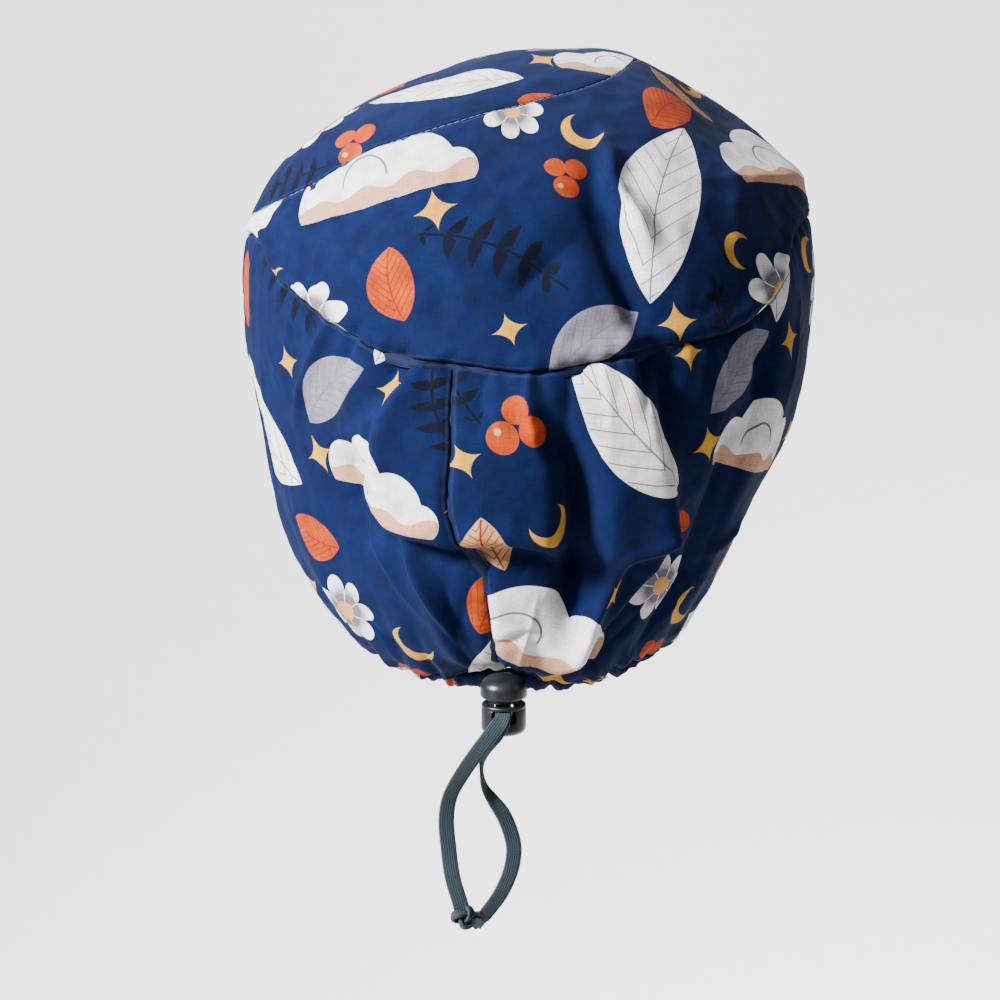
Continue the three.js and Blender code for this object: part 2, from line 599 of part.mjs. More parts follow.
function strand(name, side) {
  const start = new THREE.Vector3(strandX, lockY - elasticClear / 2, stackZ - side * strandLevel);
  const curve = new THREE.CatmullRomCurve3(strandPaths[name].map((p) => new THREE.Vector3(...p).add(start)));
  const widths = new THREE.CatmullRomCurve3(strandAcross[name].map((p) => new THREE.Vector3(...p)));
  const rings = [];
  for (let k = 0; k <= strandSteps; k += 1) {
    const t = k / strandSteps;
    const ahead = curve.getTangent(t);
    const across = widths.getPoint(t);
    across.addScaledVector(ahead, -across.dot(ahead)).normalize();
    rings.push(elasticRing(curve.getPoint(t), across, new THREE.Vector3().crossVectors(ahead, across)));
  }
  return loft(rings);
}

// Knot: three lobes where the two ends are tied
const knotLobes = [
  { size: [4.4, 3.4, 4.1], place: [0, 0, 0] },
  { size: [3, 2.7, 2.5], place: [4.2, -0.4, -1.7] },
  { size: [2.6, 2.8, 2.6], place: [-1.6, 0.6, -2.6] },
];
const knotPlace = [-14.8, -9.7, -77.7];

function knot() {
  const middle = new THREE.Vector3(...knotPlace).add(new THREE.Vector3(strandX, lockY, stackZ));
  const lobes = knotLobes.map(({ size, place }) => solidOf(new THREE.SphereGeometry(1, 14, 10)
    .scale(...size).translate(middle.x + place[0], middle.y + place[1], middle.z + place[2])));
  return geometryOf(lobes.reduce((whole, lobe) => whole.add(lobe)));
}

const clothLook = { color: 0x1f3c78, roughness: 0.9, metalness: 0 };
const elasticLook = { color: 0x252c3a, roughness: 0.85, metalness: 0 };
const plasticLook = { color: 0x14171c, roughness: 0.4, metalness: 0 };

const cap = new THREE.Group();
function addPiece(name, geometry, look) {
  const mesh = new THREE.Mesh(geometry, new THREE.MeshStandardMaterial(look));
  mesh.name = name;
  cap.add(mesh);
}

addPiece("front_panel", frontPanel(), clothLook);
addPiece("crown_panel", crownPanel(), clothLook);
addPiece("back_panel_left", backPanel(leftColumns, leftAngle, leftColumns), clothLook);
addPiece("back_panel_right", backPanel(rightColumns, rightAngle, 0), clothLook);
addPiece("nape_casing_left", casing(-1), clothLook);
addPiece("nape_casing_right", casing(1), clothLook);
addPiece("casing_elastic_left", casingElastic(-1), elasticLook);
addPiece("casing_elastic_right", casingElastic(1), elasticLook);
addPiece("cord_lock_barrel", lockBarrel(), plasticLook);
addPiece("cord_lock_button", lockButton(), plasticLook);
addPiece("elastic_strand_left", strand("left", -1), elasticLook);
addPiece("elastic_strand_right", strand("right", 1), elasticLook);
addPiece("elastic_knot", knot(), elasticLook);

export default cap;
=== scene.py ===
import bmesh
import bpy
import math
import numpy as np
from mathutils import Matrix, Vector


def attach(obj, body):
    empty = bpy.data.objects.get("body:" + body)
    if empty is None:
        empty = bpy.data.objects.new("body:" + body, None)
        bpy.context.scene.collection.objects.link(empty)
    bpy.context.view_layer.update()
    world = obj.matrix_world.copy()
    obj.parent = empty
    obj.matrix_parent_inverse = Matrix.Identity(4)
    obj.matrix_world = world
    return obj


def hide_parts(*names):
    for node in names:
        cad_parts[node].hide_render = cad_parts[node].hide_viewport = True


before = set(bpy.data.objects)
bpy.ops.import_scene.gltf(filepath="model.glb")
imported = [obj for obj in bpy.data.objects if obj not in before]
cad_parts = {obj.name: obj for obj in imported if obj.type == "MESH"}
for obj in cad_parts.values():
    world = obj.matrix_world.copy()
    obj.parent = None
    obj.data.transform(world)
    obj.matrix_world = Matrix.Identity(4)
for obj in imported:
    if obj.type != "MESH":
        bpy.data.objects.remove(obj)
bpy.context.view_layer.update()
print("frame loaded")

# Printed scrub cap with a cord lock. Shapes are worked out in millimetres and built in metres:
# nape at -Y, forehead at +Y, crown up.
mm = 0.001
degree = math.pi / 180
scene = bpy.context.scene

cameraView = {"target": (-6, 0, 41), "distance": 1100, "elevation": 12, "lens": 99}


def placeCamera(view):
    data = bpy.data.cameras.new("camera")
    data.lens = view["lens"]
    data.sensor_width = 36
    camera = bpy.data.objects.new("camera", data)
    rise = view["elevation"] * degree
    back = Vector((0, -math.cos(rise), math.sin(rise)))
    camera.location = (Vector(view["target"]) + back * view["distance"]) * mm
    camera.rotation_euler = (math.pi / 2 - rise, 0, 0)
    scene.collection.objects.link(camera)
    scene.camera = camera


placeCamera(cameraView)
print("camera placed")

# The cap's form, with the solids' own values, in millimetres and degrees
capWidth, capDepth, crownHeight = 222, 226, 219
seamGap, sideSeamGap, seamDip, crownOverhang = 0.3, 0.8, 0.7, 2.2
foldDepth, foldWidth, bulgeDepth = 9, 14, 10
elasticWidth, elasticThick, elasticClear = 6, 1, 0.3
casingWall = 1.1  # cloth and the air in its gathers
sideAngle, meridian = 92, 1.37 * crownHeight

# Level sections from the hem to the crown. Rise is the share of the way up the cloth, left to front are
# shares of half the width or depth, and the heights are shares of crownHeight.
sectionColumns = ["rise", "left", "right", "back", "front", "backZ", "leftZ", "rightZ", "frontZ"]
sectionRows = [
    [0.00, -0.577, 0.577, -0.690, 0.850, -0.078, -0.037, -0.046, 0.283],
    [0.05, -0.640, 0.631, -0.779, 0.885, -0.055, -0.014, -0.023, 0.315],
    [0.13, -0.748, 0.703, -0.885, 0.920, 0.018, 0.064, 0.046, 0.365],
    [0.24, -0.847, 0.829, -0.973, 0.956, 0.155, 0.183, 0.183, 0.447],
    [0.36, -0.901, 0.982, -1.009, 0.982, 0.320, 0.338, 0.347, 0.557],
    [0.48, -0.955, 1.045, -0.991, 0.991, 0.479, 0.493, 0.511, 0.667],
    [0.60, -0.964, 1.045, -0.929, 0.965, 0.630, 0.630, 0.658, 0.767],
    [0.70, -0.910, 0.973, -0.796, 0.894, 0.758, 0.731, 0.785, 0.854],
    [0.80, -0.757, 0.775, -0.566, 0.743, 0.868, 0.830, 0.886, 0.927],
    [0.90, -0.405, 0.486, -0.265, 0.478, 0.954, 0.929, 0.973, 0.973],
    [1.00, 0.090, 0.090, 0.142, 0.142, 1.000, 1.000, 1.000, 1.000],
]

# Seam lines as [angle from the centre back, rise]
archSeam = [
    [-92, 0.650], [-86, 0.662], [-73, 0.690], [-62, 0.712], [-51, 0.744], [-42, 0.780], [-25, 0.812],
    [-8, 0.844], [11, 0.872], [30, 0.888], [47, 0.902], [78, 0.912], [99, 0.868], [101, 0.796],
    [98, 0.717], [92, 0.650],
]
crownSeam = [
    [-92, 0.630], [-80, 0.650], [-70, 0.652], [-64, 0.636], [-57, 0.600], [-50, 0.580], [-44, 0.560],
    [-36, 0.538], [-28, 0.517], [-15, 0.511], [0, 0.502], [13, 0.514], [25, 0.524], [42, 0.533],
    [50, 0.549], [57, 0.582], [64, 0.622], [78, 0.642], [92, 0.635],
]
centreSeam = [
    [0, -4], [0.10, -4], [0.16, -4.4], [0.22, -6], [0.255, -7.5], [0.285, -11], [0.325, -14],
    [0.42, -14], [0.52, -14],
]

# Folds and dents: height and width are shares of foldDepth and foldWidth, lean raises one side and
# lowers the other, and each point of the path is [angle, rise, strength].
foldRows = [
    # Valley between the two gathered bulges
    [-1.0, 0.42, 0.0, [[4, 0.47, 0], [6, 0.42, 0.6], [9, 0.37, 1], [11, 0.31, 1], [14, 0.24, 0.9],
                       [16, 0.16, 0]]],
    # Edges and pleats of the gathered bulge
    [0.34, 0.26, 0.10, [[-41, 0.55, 0.6], [-44, 0.51, 1], [-53, 0.43, 1], [-58, 0.38, 0]]],
    [0.30, 0.24, 0.16, [[-23, 0.50, 0.5], [-25, 0.47, 1], [-31, 0.43, 1], [-35, 0.37, 0.6],
                        [-36, 0.33, 0]]],
    [-0.42, 0.30, 0.0, [[24, 0.52, 0.6], [26, 0.49, 1], [26, 0.43, 0.6], [28, 0.38, 0]]],
    [-0.32, 0.30, 0.0, [[48, 0.54, 0.5], [50, 0.50, 1], [54, 0.42, 0.4], [56, 0.36, 0]]],
    [0.22, 0.26, 0.0, [[0, 0.50, 0.3], [0, 0.46, 1], [2, 0.42, 0]]],
    # Lower folds that run in to the cord lock
    [0.52, 0.34, -0.30, [[41, 0.27, 0.2], [30, 0.29, 1], [24, 0.27, 1], [22, 0.21, 1], [18, 0.13, 1],
                         [12, 0.07, 0]]],
    [0.40, 0.36, 0.12, [[-32, 0.29, 0.3], [-25, 0.26, 1], [-19, 0.19, 1], [-15, 0.12, 0.8],
                        [-10, 0.06, 0]]],
    [-0.46, 0.34, 0.22, [[47, 0.44, 0], [46, 0.37, 0.8], [48, 0.28, 1], [51, 0.20, 1], [46, 0.13, 0.8],
                         [39, 0.07, 0]]],
    [0.26, 0.22, 0.0, [[66, 0.27, 0], [60, 0.25, 1], [52, 0.21, 0]]],
    [-0.30, 0.30, 0.0, [[-8, 0.25, 0], [-12, 0.18, 1], [-9, 0.09, 0.5], [-6, 0.04, 0]]],
    [-0.46, 1.10, 0.0, [[-37, 0.40, 0.3], [-41, 0.33, 1], [-40, 0.24, 0.5]]],
    [0.28, 0.50, 0.0, [[-60, 0.24, 0], [-52, 0.18, 1], [-42, 0.11, 1], [-36, 0.06, 0]]],
    [-0.26, 0.60, 0.0, [[-84, 0.44, 0], [-78, 0.34, 1], [-70, 0.22, 0.8], [-62, 0.13, 0]]],
    # Crown dents and the corner that the crown makes at the right
    [-0.50, 0.86, 0.0, [[18, 0.80, 0], [16, 0.72, 1], [15, 0.64, 1], [16, 0.54, 0.4]]],
    [0.28, 0.34, 0.0, [[21, 0.79, 0.2], [18, 0.73, 1], [21, 0.69, 1], [25, 0.64, 0]]],
    [-0.30, 0.70, 0.0, [[10, 0.67, 0.6], [2, 0.62, 1], [-6, 0.57, 0]]],
    [0.30, 0.50, 0.0, [[48, 0.72, 0], [60, 0.715, 0.7], [76, 0.70, 1], [88, 0.69, 0.5]]],
    [-0.52, 1.10, 0.0, [[62, 0.80, 0.3], [80, 0.83, 1], [96, 0.87, 0.6]]],
    [0.34, 0.80, 0.0, [[70, 0.925, 0.5], [120, 0.93, 1], [170, 0.92, 0]]],
]

# Finer creases of the cloth, with sharp tops, and steps where one fold hangs over the next
creaseRows = [
    # Pouch under the crown seam: its left edge, its lower crease, its right edge
    [-0.26, 0.30, 0.40, [[-20.9, 0.508, 0.4], [-23.7, 0.491, 1], [-28.4, 0.436, 1], [-32.4, 0.37, 1],
                         [-35.6, 0.330, 1], [-33.1, 0.308, 1], [-27.3, 0.297, 1], [-23.4, 0.290, 0.8]]],
    [-0.42, 0.22, 0.46, [[-24, 0.290, 0.6], [-18.9, 0.288, 1], [-14, 0.281, 1], [-10.2, 0.285, 1],
                         [-4, 0.290, 1], [0, 0.288, 1], [5.2, 0.281, 0.9], [9, 0.264, 0.2]]],
    [-0.20, 0.34, -0.42, [[21, 0.498, 0.4], [22.2, 0.467, 0.8], [24, 0.43, 1], [25.8, 0.394, 1],
                          [28.3, 0.358, 1], [30.4, 0.329, 1], [31.5, 0.305, 1], [35, 0.276, 0.8]]],
    # Valley and the lobe beside it
    [-0.62, 0.24, 0.0, [[5, 0.44, 0], [6.4, 0.406, 0.8], [8.1, 0.369, 1], [9.9, 0.331, 1],
                        [12.1, 0.292, 1], [14.6, 0.249, 0.9], [15.3, 0.216, 0.3]]],
    [-0.20, 0.26, -0.44, [[36, 0.276, 0.5], [35.5, 0.235, 1], [32.3, 0.207, 1], [28.4, 0.178, 1],
                          [24, 0.140, 1], [18.4, 0.112, 0.9], [13.2, 0.090, 0.4]]],
    [0.22, 0.16, 0.10, [[17, 0.302, 0.3], [18.6, 0.272, 1], [20.6, 0.237, 1], [19.6, 0.20, 1],
                        [18, 0.162, 0.8], [15.1, 0.125, 0.3]]],
    # Pleats under the crown seam
    [-0.36, 0.16, 0.12, [[-22.9, 0.505, 1], [-23.6, 0.48, 1], [-25.2, 0.461, 0.7], [-27.6, 0.439, 0]]],
    [0.20, 0.12, 0.0, [[-0.5, 0.502, 1], [-0.7, 0.469, 1], [0.4, 0.421, 0.7], [2, 0.387, 0]]],
    [-0.22, 0.20, 0.0, [[-8, 0.50, 1], [-8.6, 0.46, 0.7], [-9, 0.42, 0]]],
    [-0.24, 0.18, 0.0, [[7, 0.50, 1], [6.8, 0.47, 0.8], [6.5, 0.43, 0]]],
    [0.18, 0.14, 0.0, [[13, 0.505, 1], [13.6, 0.46, 0.8], [14, 0.42, 0]]],
    [-0.34, 0.16, 0.0, [[20.5, 0.51, 1], [20.4, 0.47, 0.8], [20.0, 0.42, 0]]],
    [-0.24, 0.18, 0.0, [[-33, 0.545, 1], [-36, 0.50, 0.8], [-42, 0.45, 0]]],
    [0.22, 0.16, 0.0, [[38, 0.53, 1], [40, 0.47, 0.8], [41, 0.40, 0]]],
    # Crown: the dent with its sharp right edge, the band across it, the corner at the right
    [0.26, 0.20, 0.34, [[20.1, 0.802, 0.2], [19, 0.767, 0.8], [17.6, 0.735, 1], [19, 0.708, 1],
                        [20.8, 0.683, 0.9], [22.3, 0.661, 0.5], [23.6, 0.641, 0]]],
    [-0.24, 0.50, 0.0, [[9.3, 0.669, 0.5], [4.1, 0.641, 1], [-0.8, 0.613, 1], [-4.5, 0.587, 0]]],
    [-0.10, 0.40, -0.30, [[14.3, 0.658, 0.6], [16.1, 0.618, 1], [18, 0.578, 1], [20.4, 0.53, 0.5]]],
    [0.14, 0.16, 0.0, [[40.2, 0.728, 0.2], [49, 0.724, 1], [57.2, 0.715, 1], [71.7, 0.701, 1],
                       [82, 0.69, 0.2]]],
    # Long folds of the sides
    [-0.38, 0.44, 0.26, [[54.6, 0.516, 0.4], [53.7, 0.45, 1], [51.3, 0.391, 1], [51.1, 0.329, 1],
                         [53, 0.262, 1], [54.9, 0.188, 0.8], [53, 0.122, 0.2]]],
    [0.24, 0.30, 0.0, [[66, 0.543, 0.3], [64.5, 0.489, 1], [61.5, 0.441, 1], [62, 0.388, 0.3]]],
    [-0.34, 0.42, 0.0, [[-37.8, 0.385, 0.5], [-41.9, 0.352, 1], [-40.8, 0.315, 1], [-37.6, 0.290, 0.5]]],
    [-0.12, 0.30, 0.0, [[70, 0.42, 0], [74, 0.34, 1], [70, 0.24, 0.6], [64, 0.17, 0]]],
    [0.10, 0.24, 0.0, [[-64, 0.52, 0], [-68, 0.42, 1], [-66, 0.30, 0.6], [-60, 0.22, 0]]],
    # Folds that run in to the cord lock
    [0.26, 0.18, 0.22, [[-25.9, 0.281, 0.6], [-22.7, 0.245, 1], [-19.5, 0.213, 1], [-16.4, 0.186, 1],
                        [-13.6, 0.154, 0.9], [-10.7, 0.110, 0.4]]],
    [0.24, 0.20, 0.10, [[-36.6, 0.295, 0.5], [-34.5, 0.265, 1], [-30.9, 0.242, 1], [-27.4, 0.212, 1],
                        [-21.9, 0.180, 0.4]]],
    [-0.30, 0.20, 0.0, [[-15.4, 0.232, 0.4], [-14.4, 0.198, 1], [-13.2, 0.154, 1], [-10, 0.085, 0.4]]],
    [-0.24, 0.12, 0.10, [[-2.6, 0.152, 0.5], [1.3, 0.164, 1], [5.4, 0.172, 0.4]]],
    [0.16, 0.14, 0.0, [[6, 0.24, 0], [5, 0.18, 1], [2, 0.10, 0.8], [0, 0.05, 0]]],
    [-0.18, 0.18, 0.0, [[40, 0.20, 0], [34, 0.15, 1], [26, 0.10, 0.8], [17, 0.04, 0]]],
    [0.16, 0.20, 0.0, [[58, 0.22, 0], [52, 0.16, 1], [42, 0.10, 0.8], [30, 0.04, 0]]],
    [-0.16, 0.20, 0.0, [[-50, 0.22, 0], [-42, 0.15, 1], [-32, 0.10, 0.8], [-22, 0.04, 0]]],
    [0.15, 0.22, 0.0, [[-76, 0.20, 0], [-62, 0.14, 1], [-50, 0.09, 0.8], [-38, 0.04, 0]]],
    [0.13, 0.24, 0.0, [[86, 0.22, 0], [74, 0.15, 1], [60, 0.09, 0.8], [48, 0.04, 0]]],
]


def splineAt(knots, values, t, flatEnd=False):
    knots, values, t = np.asarray(knots, float), np.asarray(values, float), np.asarray(t, float)
    spans = np.diff(knots)
    slopes = np.diff(values) / spans
    tangents = np.empty_like(values)
    tangents[1:-1] = (slopes[:-1] * spans[1:] + slopes[1:] * spans[:-1]) / (spans[:-1] + spans[1:])
    tangents[0], tangents[-1] = slopes[0], 0 if flatEnd else slopes[-1]
    i = np.clip(np.searchsorted(knots, t, "right") - 1, 0, len(spans) - 1)
    s = np.clip((t - knots[i]) / spans[i], 0, 1)
    s2, s3 = s * s, s ** 3
    inside = ((2 * s3 - 3 * s2 + 1) * values[i] + (s3 - 2 * s2 + s) * spans[i] * tangents[i]
              + (3 * s2 - 2 * s3) * values[i + 1] + (s3 - s2) * spans[i] * tangents[i + 1])
    return np.where(t < knots[0], values[0] + (t - knots[0]) * tangents[0], inside)


sections = {name: [row[i] for row in sectionRows] for i, name in enumerate(sectionColumns)}
section = lambda name, rise: splineAt(sections["rise"], sections[name], rise, name.endswith("Z"))
mix = lambda a, b, t: a + (b - a) * t
soft = lambda t: 1 / (1 + np.exp(-np.clip(t, -40, 40)))
bell = lambda t: np.exp(-(t ** 2))
tableAt = lambda table, key, t: splineAt([p[key] for p in table], [p[1 - key] for p in table], t)
crownSeamRise = lambda angle: tableAt(crownSeam, 0, angle)
centreSeamAngle = lambda rise: tableAt(centreSeam, 0, rise)
degreeLength = lambda rise: capWidth / 4 * (section("right", rise) - section("left", rise)) * degree
unit = lambda v: v / np.maximum(np.linalg.norm(v, axis=-1, keepdims=True), 1e-9)


# Length along a line or a grid of points, and points at chosen lengths along a line
def lengthsFrom(points, axis=0):
    steps = np.linalg.norm(np.diff(points, axis=axis), axis=-1)
    zero = np.zeros_like(np.take(steps, [0], axis=axis))
    return np.concatenate([zero, np.cumsum(steps, axis=axis)], axis=axis)


def pointsAlong(t, length, line):
    return np.stack([np.interp(t, length, column) for column in line.T], axis=-1)


def plainPoint(angle, rise):
    s, c = np.sin(angle * degree), np.cos(angle * degree)
    left, right, back, front = (section(name, rise) for name in ["left", "right", "back", "front"])
    leftZ, rightZ = section("leftZ", rise), section("rightZ", rise)
    sideZ = (leftZ + rightZ) / 2 + (rightZ - leftZ) / 2 * s
    endZ = np.where(c > 0, section("backZ", rise), section("frontZ", rise))
    return np.stack([
        capWidth / 2 * ((left + right) / 2 + (right - left) / 2 * s),
        capDepth / 2 * ((back + front) / 2 - (front - back) / 2 * c),
        crownHeight * (sideZ + (endZ - sideZ) * c * c),
    ], axis=-1)


def nearestOnPath(path, angle, rise):
    across = np.maximum(degreeLength(rise), 0.3)
    distance = np.full(np.shape(angle), 1e9)
    side, strength = np.zeros(np.shape(angle)), np.zeros(np.shape(angle))
    for (a0, r0, k0), (a1, r1, k1) in zip(path[:-1], path[1:]):
        ax, ay = (angle - a0) * across, (rise - r0) * meridian
        bx, by = (a1 - a0) * across, (r1 - r0) * meridian
        t = np.clip((ax * bx + ay * by) / (bx * bx + by * by), 0, 1)
        far = np.hypot(ax - bx * t, ay - by * t)
        nearer = far < distance
        distance = np.where(nearer, far, distance)
        side = np.where(nearer, (bx * ay - by * ax) / np.hypot(bx, by), side)
        strength = np.where(nearer, mix(k0, k1, t), strength)
    return distance, side, strength


leanReach, leanSharp = 2.5, 0.6  # how far a fold's lean reaches, and how quickly it turns, in widths


def foldRelief(angle, rise, rows, sharp=False):
    relief = np.zeros(np.shape(angle))
    for height, share, lean, path in rows:
        width = share * foldWidth
        distance, side, strength = nearestOnPath(path, angle, rise)
        ridge = np.exp(-distance / width) if sharp else bell(distance / width)
        slant = bell(distance / (leanReach * width)) * np.tanh(side / (leanSharp * width))
        relief += foldDepth * strength * (height * ridge + lean * slant)
    return relief


# The gathered pouch. Its sides stand at one angle above and at another below the rise where they turn, in
# degrees, its foot and top are in rise, and each edge fades over a short way.
pouch = {
    "left": {"above": -37, "below": -24, "share": 0.8, "turns": 0.33, "quickly": 40, "fade": 2.4},
    "right": {"above": 22, "below": 34, "share": 1, "turns": 0.40, "quickly": 22, "fade": 1.8},
    "foot": {"rise": 0.284, "drop": 0.014, "from": 8, "over": 4, "fade": 0.009},
    "top": {"rise": 0.49, "fade": 0.022},
}


def bulgeRelief(angle, rise):
    foot, top = pouch["foot"], pouch["top"]
    relief = bulgeDepth
    for inwards, side in ((1, pouch["left"]), (-1, pouch["right"])):
        turned = soft((side["turns"] - rise) * side["quickly"]) * side["share"]
        edge = mix(side["above"], side["below"], turned)
        relief = relief * soft(inwards * (angle - edge) / side["fade"])
    footRise = foot["rise"] - foot["drop"] * soft((angle - foot["from"]) / foot["over"])
    return relief * soft((rise - footRise) / foot["fade"]) * soft((top["rise"] - rise) / top["fade"])


# Depth as a share of foldDepth, width in mm, the rise of its middle, and its height in rise
lockDent = {"depth": 1.2, "width": 15, "rise": 0.055, "height": 0.036}


def lockHollow(angle, rise):
    aside = (angle - centreSeamAngle(0)) * degreeLength(rise)
    return (-lockDent["depth"] * foldDepth * bell(aside / lockDent["width"])
            * bell((rise - lockDent["rise"]) / lockDent["height"]))


overhang = {"above": 4.5, "sides": 14, "fade": 4}  # fullest this far above the seam, gone at the side seams
seamDips = {"crownWidth": 3, "centreWidth": 2.4, "centreShare": 1.4}
mouthLip = {"width": 7, "from": 6, "fade": 1.5, "height": 0.4}  # the cloth stands out above the lock
casingTuck = {"depth": 0.9, "from": 0.5, "fade": 0.35}  # and sinks in behind the casing's top edge


def seamRelief(angle, rise, part):
    above = (rise - crownSeamRise(angle)) * meridian
    if part == "crown":
        atSides = soft((sideAngle - overhang["sides"] - np.abs(angle)) / overhang["fade"])
        return crownOverhang * atSides * bell((above - overhang["above"]) / overhang["above"])
    if part == "back":
        aside = (angle - centreSeamAngle(rise)) * degreeLength(rise)
        under = (casingTopRise(angle) - rise) * meridian
        lip = soft((under + mouthLip["from"]) / mouthLip["fade"])
        lip = lip * bell((angle - mouthAngle) / mouthLip["width"])
        dip = seamDip * bell(above / seamDips["crownWidth"])
        dip = dip + seamDips["centreShare"] * seamDip * bell(aside / seamDips["centreWidth"])
        tuck = casingTuck["depth"] * soft((under - casingTuck["from"]) / casingTuck["fade"])
        return mouthLip["height"] * lip - dip * (1 - lip) - tuck
    return 0


# Seeded waves in space: soft unevenness that runs on across the seams
def waves(points, seed, wavelength, stretch=(1, 1, 1), count=22):
    rng = np.random.default_rng(seed)
    directions = unit(rng.normal(size=(count, 3))) * np.array(stretch)
    lengths = wavelength * rng.uniform(0.7, 1.5, count)
    phases = rng.uniform(0, 2 * math.pi, count)
    total = 0
    for direction, length, phase in zip(directions, lengths, phases):
        total = total + np.sin(2 * math.pi * (points @ direction) / length + phase)
    return total / math.sqrt(count / 2)


# Gathers at the nape: period in degrees along the hem, depth in mm, rise at which they have died away, seed
gathers = [
    {"period": 4.3, "depth": 0.34, "fade": 0.045, "seed": 3},
    {"period": 7.1, "depth": 0.62, "fade": 0.085, "seed": 5},
    {"period": 11.5, "depth": 1.0, "fade": 0.15, "seed": 8},
]
gatherLook = {"tall": 120, "shift": 1.1, "shiftLength": 34, "least": 0.75, "uneven": 0.35,
              "unevenLength": 22, "unevenSeed": 20, "second": 0.3, "secondTurn": 0.7, "endsBefore": 5,
              "endsOver": 3}


def gatherRelief(angle, rise):
    look = gatherLook
    turned = np.stack([angle, np.zeros(np.shape(angle)), rise * look["tall"]], axis=-1)
    ends = soft((sideAngle - look["endsBefore"] - np.abs(angle)) / look["endsOver"])
    relief = 0
    for gather in gathers:
        shift = look["shift"] * waves(turned, gather["seed"], look["shiftLength"])
        phase = 2 * math.pi * (angle / gather["period"]) + shift
        uneven = waves(turned, gather["seed"] + look["unevenSeed"], look["unevenLength"])
        uneven = look["least"] + look["uneven"] * uneven
        fold = np.sin(phase) + look["second"] * np.sin(2 * phase + look["secondTurn"])
        relief = relief + gather["depth"] * uneven * fold * bell(rise / gather["fade"])
    return relief * ends


puckers = {"depth": 0.34, "period": 8.5, "reach": 7.0, "roll": 0.9, "rollWidth": 0.9, "seed": 16,
           "wander": 1.6, "wanderLength": 30}
crinkles = {"height": 0.24, "seed": 13, "length": 17, "stretch": (1.1, 1.1, 0.55), "fine": 0.05,
            "fineSeed": 14, "fineLength": 7}
hemWaves = {"height": 0.35, "seed": 15, "length": 11, "fade": 0.05}


# Slow unevenness of the cloth, which the rows of stitches follow too: height, seed, wavelength, stretch
swells = [(0.55, 11, 62, (1, 1, 0.6)), (0.20, 12, 26, (1, 1, 0.7))]


def slowWaves(plain):
    return sum(height * waves(plain, seed, length, stretch) for height, seed, length, stretch in swells)


def fineRelief(angle, rise, plain, part, edges):
    relief = foldRelief(angle, rise, creaseRows, sharp=True)
    relief += slowWaves(plain)
    creased = waves(plain, crinkles["seed"], crinkles["length"], crinkles["stretch"])
    fine = waves(plain, crinkles["fineSeed"], crinkles["fineLength"])
    relief += crinkles["height"] * (1 - np.abs(creased)) + crinkles["fine"] * fine
    if part == "back":
        relief = relief + gatherRelief(angle, rise)
    if part == "front":
        ripple = waves(plain, hemWaves["seed"], hemWaves["length"]) * bell(rise / hemWaves["fade"])
        relief = relief + hemWaves["height"] * ripple
    for edge in edges:
        wander = puckers["wander"] * waves(plain, puckers["seed"] + edge["seed"], puckers["wanderLength"])
        along = np.sin(2 * math.pi * edge["along"] / puckers["period"] + wander)
        relief = relief + puckers["depth"] * edge["pull"] * along * np.exp(-edge["away"] / puckers["reach"])
        relief = relief - puckers["roll"] * edge["roll"] * bell(edge["away"] / puckers["rollWidth"])
    return relief


onChart = lambda angle, rise: np.stack([(1 - rise) * np.sin(angle * degree),
                                        -(1 - rise) * np.cos(angle * degree)], axis=-1)


def fromChart(chart):
    p, q = chart[..., 0], chart[..., 1]
    return np.arctan2(p, -q) / degree, 1 - np.hypot(p, q)


def plainNormal(chart, surface=None):
    surface = surface or (lambda at: plainPoint(*fromChart(at)))
    step = 0.0015
    alongP = surface(chart + [step, 0]) - surface(chart - [step, 0])
    alongQ = surface(chart + [0, step]) - surface(chart - [0, step])
    return unit(np.cross(alongP, alongQ))


def outerPoint(chart, part="plain", extra=0):
    angle, rise = fromChart(chart)
    relief = (foldRelief(angle, rise, foldRows) + bulgeRelief(angle, rise) + lockHollow(angle, rise)
              + seamRelief(angle, rise, part) + extra)
    return plainPoint(angle, rise) + plainNormal(chart) * np.asarray(relief)[..., None]


# Curves through chosen points, as the solids have them
def throughPoints(points, t):
    points = np.asarray(points, float)
    padded = np.vstack([2 * points[0] - points[1], points, 2 * points[-1] - points[-2]])
    place = np.clip(t, 0, 1) * (len(points) - 1)
    i = np.minimum(place.astype(int), len(points) - 2)
    s = (place - i)[:, None]
    p0, p1, p2, p3 = (padded[i + k] for k in range(4))
    step = lambda a, b: np.sqrt(np.linalg.norm(b - a, axis=1))[:, None]
    d0, d1, d2 = step(p0, p1), step(p1, p2), step(p2, p3)
    d1 = np.where(d1 < 1e-4, 1, d1)
    d0, d2 = np.where(d0 < 1e-4, d1, d0), np.where(d2 < 1e-4, d1, d2)
    t1 = ((p1 - p0) / d0 - (p2 - p0) / (d0 + d1) + (p2 - p1) / d1) * d1
    t2 = ((p2 - p1) / d1 - (p3 - p1) / (d1 + d2) + (p3 - p2) / d2) * d1
    return p1 + t1 * s + (-3 * p1 + 3 * p2 - 2 * t1 - t2) * s ** 2 + (2 * p1 - 2 * p2 + t1 + t2) * s ** 3


def archCurve():
    points = np.array([onChart(angle, rise) for angle, rise in archSeam])
    padded = np.vstack([points[0], points, points[-1]])
    s = np.linspace(0, 1, 24, endpoint=False)[:, None]
    line = []
    for i in range(len(points) - 1):
        p0, p1, p2, p3 = padded[i:i + 4]
        v0, v1 = (p2 - p0) / 2, (p3 - p1) / 2
        bend, turn = 2 * p1 - 2 * p2 + v0 + v1, -3 * p1 + 3 * p2 - 2 * v0 - v1
        line.append(bend * s ** 3 + turn * s ** 2 + v0 * s + p1)
    line = np.vstack(line + [points[-1:]])
    length = lengthsFrom(line)
    return line, length / length[-1]


